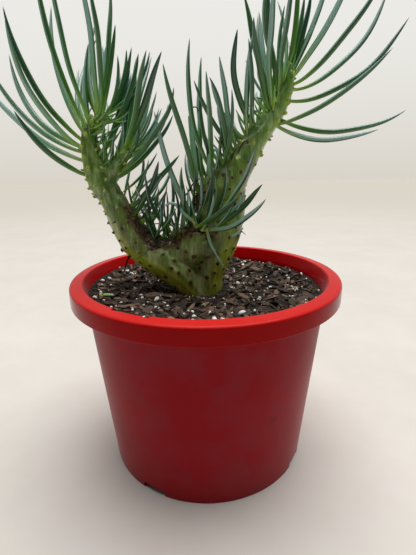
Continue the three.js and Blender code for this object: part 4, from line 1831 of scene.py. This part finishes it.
STRANDS = (
    Strand("cut_leaf_stub", StrandKind.LIVE, 2.0, 0.92, 1.2, (
        (-5, -4, 206), (-6, -6, 220), (-7.5, -6, 238), (-8.5, -6, 257),
    )),
    Strand("looped_leaf", StrandKind.LIVE, 1.5, 0.4, 0.6, (
        (7, -7, 205), (4, -9, 216), (3, -10, 226), (5, -10, 232), (9, -9, 235), (11, -8, 231),
        (9, -7, 222), (7, -7, 215),
    )),
    Strand("curled_pale_leaf", StrandKind.LIVE, 1.5, 0.5, 0.1, (
        (-6, -11, 181), (-8, -12, 185), (-14, -14, 190), (-19, -16, 197), (-23, -17, 199), (-26, -17, 198),
        (-27, -17, 195),
    )),
    Strand("shoot_stub", StrandKind.LIVE, 2.4, 0.85, 1.9, (
        (-48, -7, 184), (-45, -8, 186), (-40, -8, 188), (-35, -9, 188),
    )),
    Strand("drooping_leaf", StrandKind.LIVE, 1.15, 0.12, 0.0, (
        (1, -15, 182), (2, -18, 177), (4, -20, 169), (9, -21, 160), (14, -21, 152),
    )),
    Strand("low_side_leaf", StrandKind.LIVE, 1.9, 0.12, 0.5, (
        (5, -12, 177), (11, -14, 175), (17, -15, 173), (23, -15, 176), (28, -14, 181),
    )),
    Strand("stub_curl", StrandKind.DRIED, 0.5, 0.5, 0.0, (
        (-9, -6, 255), (-9, -6, 258), (-7, -6, 260), (-4, -6, 260), (-3, -6, 258), (-3.5, -6, 256),
    )),
    Strand("tan_thread", StrandKind.DRIED, 0.45, 0.5, 2.2, (
        (-38, -5, 181), (-36, -6, 183), (-29, -7, 182), (-22, -8, 181), (-18, -8, 183), (-15, -9, 180),
    )),
    Strand("hanging_dried_leaf", StrandKind.DRIED, 0.8, 0.2, 0.0, (
        (-52, -8, 164), (-57, -9, 158), (-59, -10, 152), (-61, -10, 146),
    )),
    Strand("arm_tendril", StrandKind.DRIED, 0.4, 0.5, 0.1, (
        (22, -9, 226), (24, -9, 232), (27, -9, 238), (30, -9, 239), (30.5, -9, 235), (28, -10, 230),
        (27, -10, 226),
    )),
    Strand("ridge_tendril", StrandKind.DRIED, 0.5, 0.4, 0.2, (
        (14, -6, 218), (17, -8, 222), (19, -9, 226), (20, -10, 231), (24, -10, 235), (26, -10, 233),
    )),
    Strand("crest_tendril", StrandKind.DRIED, 0.6, 0.4, 0.0, (
        (-16, -6, 196), (-14, -8, 202), (-10, -9, 206), (-8, -10, 211), (-4, -10, 213), (-1, -9, 217),
    )),
    Strand("saddle_tendril", StrandKind.DRIED, 0.5, 0.4, 0.1, (
        (-44, -6, 176), (-46, -9, 184), (-42, -10, 192), (-37, -10, 197), (-34, -9, 193), (-35, -9, 188),
        (-38, -8, 184),
    )),
)


@dataclass(frozen=True)
class FallenLeaf:
    """A short piece of a shed leaf that lies on the mix."""

    radius: float = 1.35
    rise: float = 0.3  # height of the arch over the box's half height
    bluntness: int = 8
    flatness: float = 0.75
    samples: int = 16
    sides: int = 12

    def build(self, material: Material) -> Object:
        """A flattened section along a shallow arch that spans the CAD piece's box.

        The radius is the square root of one minus a power of the place from -1 to 1.

        Args:
            material: a fading leaf's skin.

        Returns:
            The finished piece.
        """
        low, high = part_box("fallen_leaf")
        middle = (low + high) / 2
        crown = middle.z + self.rise * (high.z - middle.z)
        course = [[low.x, middle.y, middle.z], [middle.x, middle.y, crown], [high.x, middle.y, middle.z]]
        line = along_line(np.array(course), self.samples, 3)
        share = np.linspace(-1, 1, self.samples)
        radius = (self.radius * MM * (1 - share**self.bluntness) ** 0.5)[None]
        scrap = swept(line[None], radius, radius * self.flatness, self.sides, UP)
        scrap.values["tone"] = 1 - scrap.values["along"]
        return piece(scrap.to_object("fallen_leaf_piece", material), ("fallen_leaf",))


@dataclass
class Foliage:
    """All the leaves: one piece for each CAD leaf, and one piece for each cluster of smaller ones."""

    lines: StemLines
    form: LeafForm = LeafForm()
    bend_share: float = 0.14  # stretch of a leaf that curves into the stem
    bend_reach: float = 0.6  # how far its root is drawn towards the middle of the stem
    root_depth: float = 3.0  # how far a leaf's line is carried on past its root
    waver: float = 0.2
    girth: Span = (0.95, 1.1)
    root_spread: Triple = (0.8, 2.2, 0.8)  # of the small leaves' roots about their line
    place_spread: float = 0.02  # of their places along it
    hang_spread: float = 0.04
    full_length: float = 60.0  # shorter leaves are slimmer, down to the least girth
    least_girth: float = 0.62
    seed: int = 33

    def _centre_line(self, node: Object, stem_points: Array, rng: Random) -> Array:
        """A smooth line through a CAD leaf, from inside the stem to its tip.

        The line is the cubic that fits the solid's points best against their place along its longest
        direction. Its root is the end nearer the stem, where the line is carried on a little way and bent
        towards the middle of the stem. A faint waver of three sines is added along its length.

        Args:
            node: the CAD leaf.
            stem_points: (n, 3) points of the CAD stem.
            rng: source of a faint waver.

        Returns:
            (rings, 3) places in metres.
        """
        points = mesh_points(node.data)
        centre = points.mean(axis=0)
        longest = np.linalg.svd(points - centre, full_matrices=False)[2][0]
        place = (points - centre) @ longest
        cubic = np.polyfit(place, points, 3)
        ends = [place.min(), place.max()]
        gaps = [np.linalg.norm(stem_points - np.vander([end], 4) @ cubic, axis=1).min() for end in ends]
        root, tip = ends if gaps[0] < gaps[1] else ends[::-1]
        inward = self.root_depth * MM * np.sign(root - tip)
        share = self.form.shares()
        wanted = (root + inward) + (tip - root - inward) * share
        line = np.vander(wanted, 4) @ cubic
        waver = rng.normal(0, self.waver, (3, 1, 3)) * MM
        waves = sum(w * np.sin(math.pi * (k + 2) * share)[:, None] for k, w in enumerate(waver))
        core = self.lines.core() * MM
        pull = core[np.linalg.norm(core - line[0], axis=1).argmin()] - line[0]
        bend = np.clip(1 - share / self.bend_share, 0, 1)[:, None] ** 2
        return line + waves + self.bend_reach * pull * bend

    def build_main(self, names: list[str], material: Material) -> None:
        """Rebuilds each of the named CAD leaves as a smooth leaf piece of its own.

        Args:
            names: the CAD leaves.
            material: the leaves' skin.
        """
        rng = np.random.default_rng(self.seed)
        stem_points = mesh_points(bpy.data.objects["stem"].data)
        for name in names:
            line = self._centre_line(bpy.data.objects[name], stem_points, rng)
            scale = rng.uniform(*self.girth, 1)
            leaf = self.form.surface(line[None], scale, rng.uniform(0, 1, 1), rng)
            piece(leaf.to_object(f"{name}_blade", material), (name,))

    def build_cluster(self, cluster: LeafCluster, material: Material, seed: int) -> None:
        """Grows one cluster: each leaf is a parabola from its root, with the cluster's heading and lean.

        Args:
            cluster: what to grow and where.
            material: the leaves' skin.
            seed: for this cluster's random draws.
        """
        rng = np.random.default_rng(seed)
        count = cluster.count
        place = np.linspace(*cluster.along, count) + rng.normal(0, self.place_spread, count)
        line = self.lines.line(cluster.line, 100)
        last = len(line) - 1
        roots = line[np.clip(place * last, 0, last).astype(int)] + rng.normal(0, self.root_spread, (count, 3))
        order = np.linspace(0, 1, count)
        heading = np.radians(cluster.heading[0] + (cluster.heading[1] - cluster.heading[0]) * order)
        heading = heading + np.radians(rng.normal(0, cluster.spread, count))
        lean = np.radians(rng.uniform(*cluster.lean, count))
        length = rng.uniform(*cluster.length, count)
        direction = np.stack([np.cos(heading), np.zeros(count), np.sin(heading)], axis=1)
        direction = direction * np.cos(lean)[:, None] - FAN_NORMAL * np.sin(lean)[:, None]
        share = self.form.shares()[None, :, None]
        chord = roots[:, None] + direction[:, None] * length[:, None, None] * share
        level = np.stack([np.sin(heading), np.zeros(count), -np.cos(heading)], axis=1)
        level *= np.where(level[:, 2:] > 0, -1, 1)
        sag = length * rng.normal(cluster.hang, self.hang_spread, count)
        centres = chord + level[:, None] * (4 * share * (1 - share)) * sag[:, None, None]
        short = np.clip(length / self.full_length, self.least_girth, 1.0)
        scale = rng.uniform(*cluster.scale, count) * short
        leaves = self.form.surface(centres * MM, scale, rng.uniform(*cluster.tone, count), rng)
        piece(leaves.to_object(cluster.name, material))


# ---- stage


@dataclass
class Studio:
    """The plain floor, the soft lights and the camera."""

    lens: float = 24.65
    sensor: float = 36.0
    eye: Triple = (1.8, -281.0, 226.3)
    pitch: float = 17.2  # degrees below the level
    roll: float = -0.8
    floor_half: float = 4.0  # metres
    # metres between which the floor is painted darker, as painted shade
    floor_shade_reach: Span = (0.35, 2.2)  # metres from the middle between which the floor takes its far colour
    sun_power: float = 3.2
    sun_spread: float = 56.0  # degrees
    sun_travel: Triple = (-0.1, -0.12, -1.0)
    sky_light: float = 0.42
    front_light: float = 0.05

    def camera(self) -> None:
        """Adds the camera and makes it the scene's."""
        data = bpy.data.cameras.new("camera")
        data.lens = self.lens
        data.sensor_width = self.sensor
        data.clip_start = 0.01
        obj = placed("camera", data)
        tilt = Matrix.Rotation(math.radians(90 - self.pitch), 4, "X")
        turn = Matrix.Rotation(math.radians(self.roll), 4, "Z")
        obj.matrix_world = Matrix.Translation(Vector(self.eye) * MM) @ tilt @ turn
        bpy.context.scene.camera = obj

    def floor(self) -> None:
        """Adds a wide pale floor, painted darker far from the middle as painted shade."""
        finish, bench, shader = new_material("floor", {"Roughness": 0.7})
        place = bench.places()
        tint = bench.ramp(bench.noise(place, 9.0, 8.0, 0.65), (0.3, "#d0ccc6"), (0.7, "#dad6d1"))
        reach = bench.add("ShaderNodeVectorMath", {0: place}, operation="LENGTH").outputs[1]
        # Painted shade: the floor darkens far from the middle.
        painted_far_shade = bench.blend(bench.band(reach, *self.floor_shade_reach), tint, linear("#c6c1b7"))
        bench.fill(shader, {"Base Color": painted_far_shade})
        corners = self.floor_half * np.array([[-1, -1, 0], [1, -1, 0], [1, 1, 0], [-1, 1, 0]])
        sheet = Surface(corners, np.array([[0, 1, 2, 3]]), NO_TRIANGLES)
        sheet.to_object("floor", finish)

    def daylight(self) -> None:
        """Adds a broad, soft main light from above and a little behind."""
        data = bpy.data.lights.new("soft_daylight", "SUN")
        data.energy = self.sun_power
        data.angle = math.radians(self.sun_spread)
        data.color = (1.0, 0.985, 0.96)
        turn = Vector(self.sun_travel).to_track_quat("-Z", "Y").to_matrix().to_4x4()
        placed("soft_daylight", data).matrix_world = turn

    def surroundings(self) -> None:
        """Adds pale surroundings that are dim in front, brighter beside and above, and brightest behind.

        Rays from the camera meet a plain pale background instead.
        """
        world = bpy.data.worlds.new("surroundings")
        world.use_nodes = True
        bench = Bench(world.node_tree)
        direction = bench.add("ShaderNodeTexCoord").outputs["Generated"]
        parts = bench.add("ShaderNodeSeparateXYZ", {0: direction})
        inputs = {0: parts.outputs[1], 1: -0.6, 2: 0.4, 3: self.front_light, 4: self.sky_light}
        strength = bench.add("ShaderNodeMapRange", inputs, interpolation_type="SMOOTHSTEP").outputs[0]
        lit = bench.add("ShaderNodeBackground", {0: linear("#fdfaf4"), 1: strength})
        tint = bench.blend(bench.band(parts.outputs[2], -0.3, 0.35), linear("#cfc7ba"), linear("#ecebe6"))
        seen = bench.add("ShaderNodeBackground", {0: tint, 1: 1.0})
        is_seen = bench.add("ShaderNodeLightPath").outputs["Is Camera Ray"]
        both = bench.add("ShaderNodeMixShader", {0: is_seen, 1: lit.outputs[0], 2: seen.outputs[0]})
        out = world.node_tree.nodes["World Output"]
        world.node_tree.links.new(both.outputs[0], out.inputs[0])
        bpy.context.scene.world = world

    def build(self) -> None:
        """Sets up the camera, the floor, the light and the surroundings."""
        bpy.context.scene.view_settings.view_transform = "Standard"
        self.camera()
        self.floor()
        self.daylight()
        self.surroundings()


# ---- main


def main() -> None:
    """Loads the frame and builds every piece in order."""
    logging.basicConfig(level=logging.INFO, format="%(name)s: %(message)s")
    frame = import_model()
    Studio().build()

    effects = Effects()
    plastic = PotPlastic(effects=effects).material()
    leaf_skin = LeafSkin(effects=effects).material()
    stem_skin = StemSkin(effects=effects).material()
    compost = TonedFinish("compost", 0.95, 0.8, effects, "#17110d", "#33271f", "#6a5848").material()
    bark = TonedFinish("bark", 0.8, 0.5, effects, "#160f0c", "#43352b", "#907660").material()
    perlite = TonedFinish("perlite", 0.8, 0.4, effects, "#ececea", "#fafaf8", "#ffffff").material()
    scar = TonedFinish("leaf_scar", 0.7, 0.3, effects, "#1a0d09", "#3c2018", "#74503c").material()
    bud = TonedFinish("leaf_bud", 0.45, 0.2, effects, "#8ea838", "#b2c04a", "#cdd06a", 260.0).material()
    cork = TonedFinish("crest_cork", 0.9, 0.4, effects, "#120b08", "#3a281b", "#8d6f55").material()
    shed = TonedFinish("fading_leaf", 0.5, 0.2, effects, "#8fbfae", "#9cc27a", "#b0c832", 60.0).material()

    pot = NurseryPot()
    pot.build(plastic)
    PottingMix(pot).build(compost, bark, perlite)
    FallenLeaf().build(shed)
    lines = StemLines()
    stem = Stem(lines).build(stem_skin)
    StemMarks(stem).build(scar, bud, cork)
    foliage = Foliage(lines)
    foliage.build_main(sorted(name for name in frame["nodes"] if "_leaf_" in name), leaf_skin)
    for number, cluster in enumerate(CLUSTERS):
        foliage.build_cluster(cluster, leaf_skin, 100 + number)
    skins = {StrandKind.LIVE: leaf_skin, StrandKind.DRIED: cork}
    for strand in STRANDS:
        strand.build(skins[strand.kind])


if __name__ == "__main__":
    main()
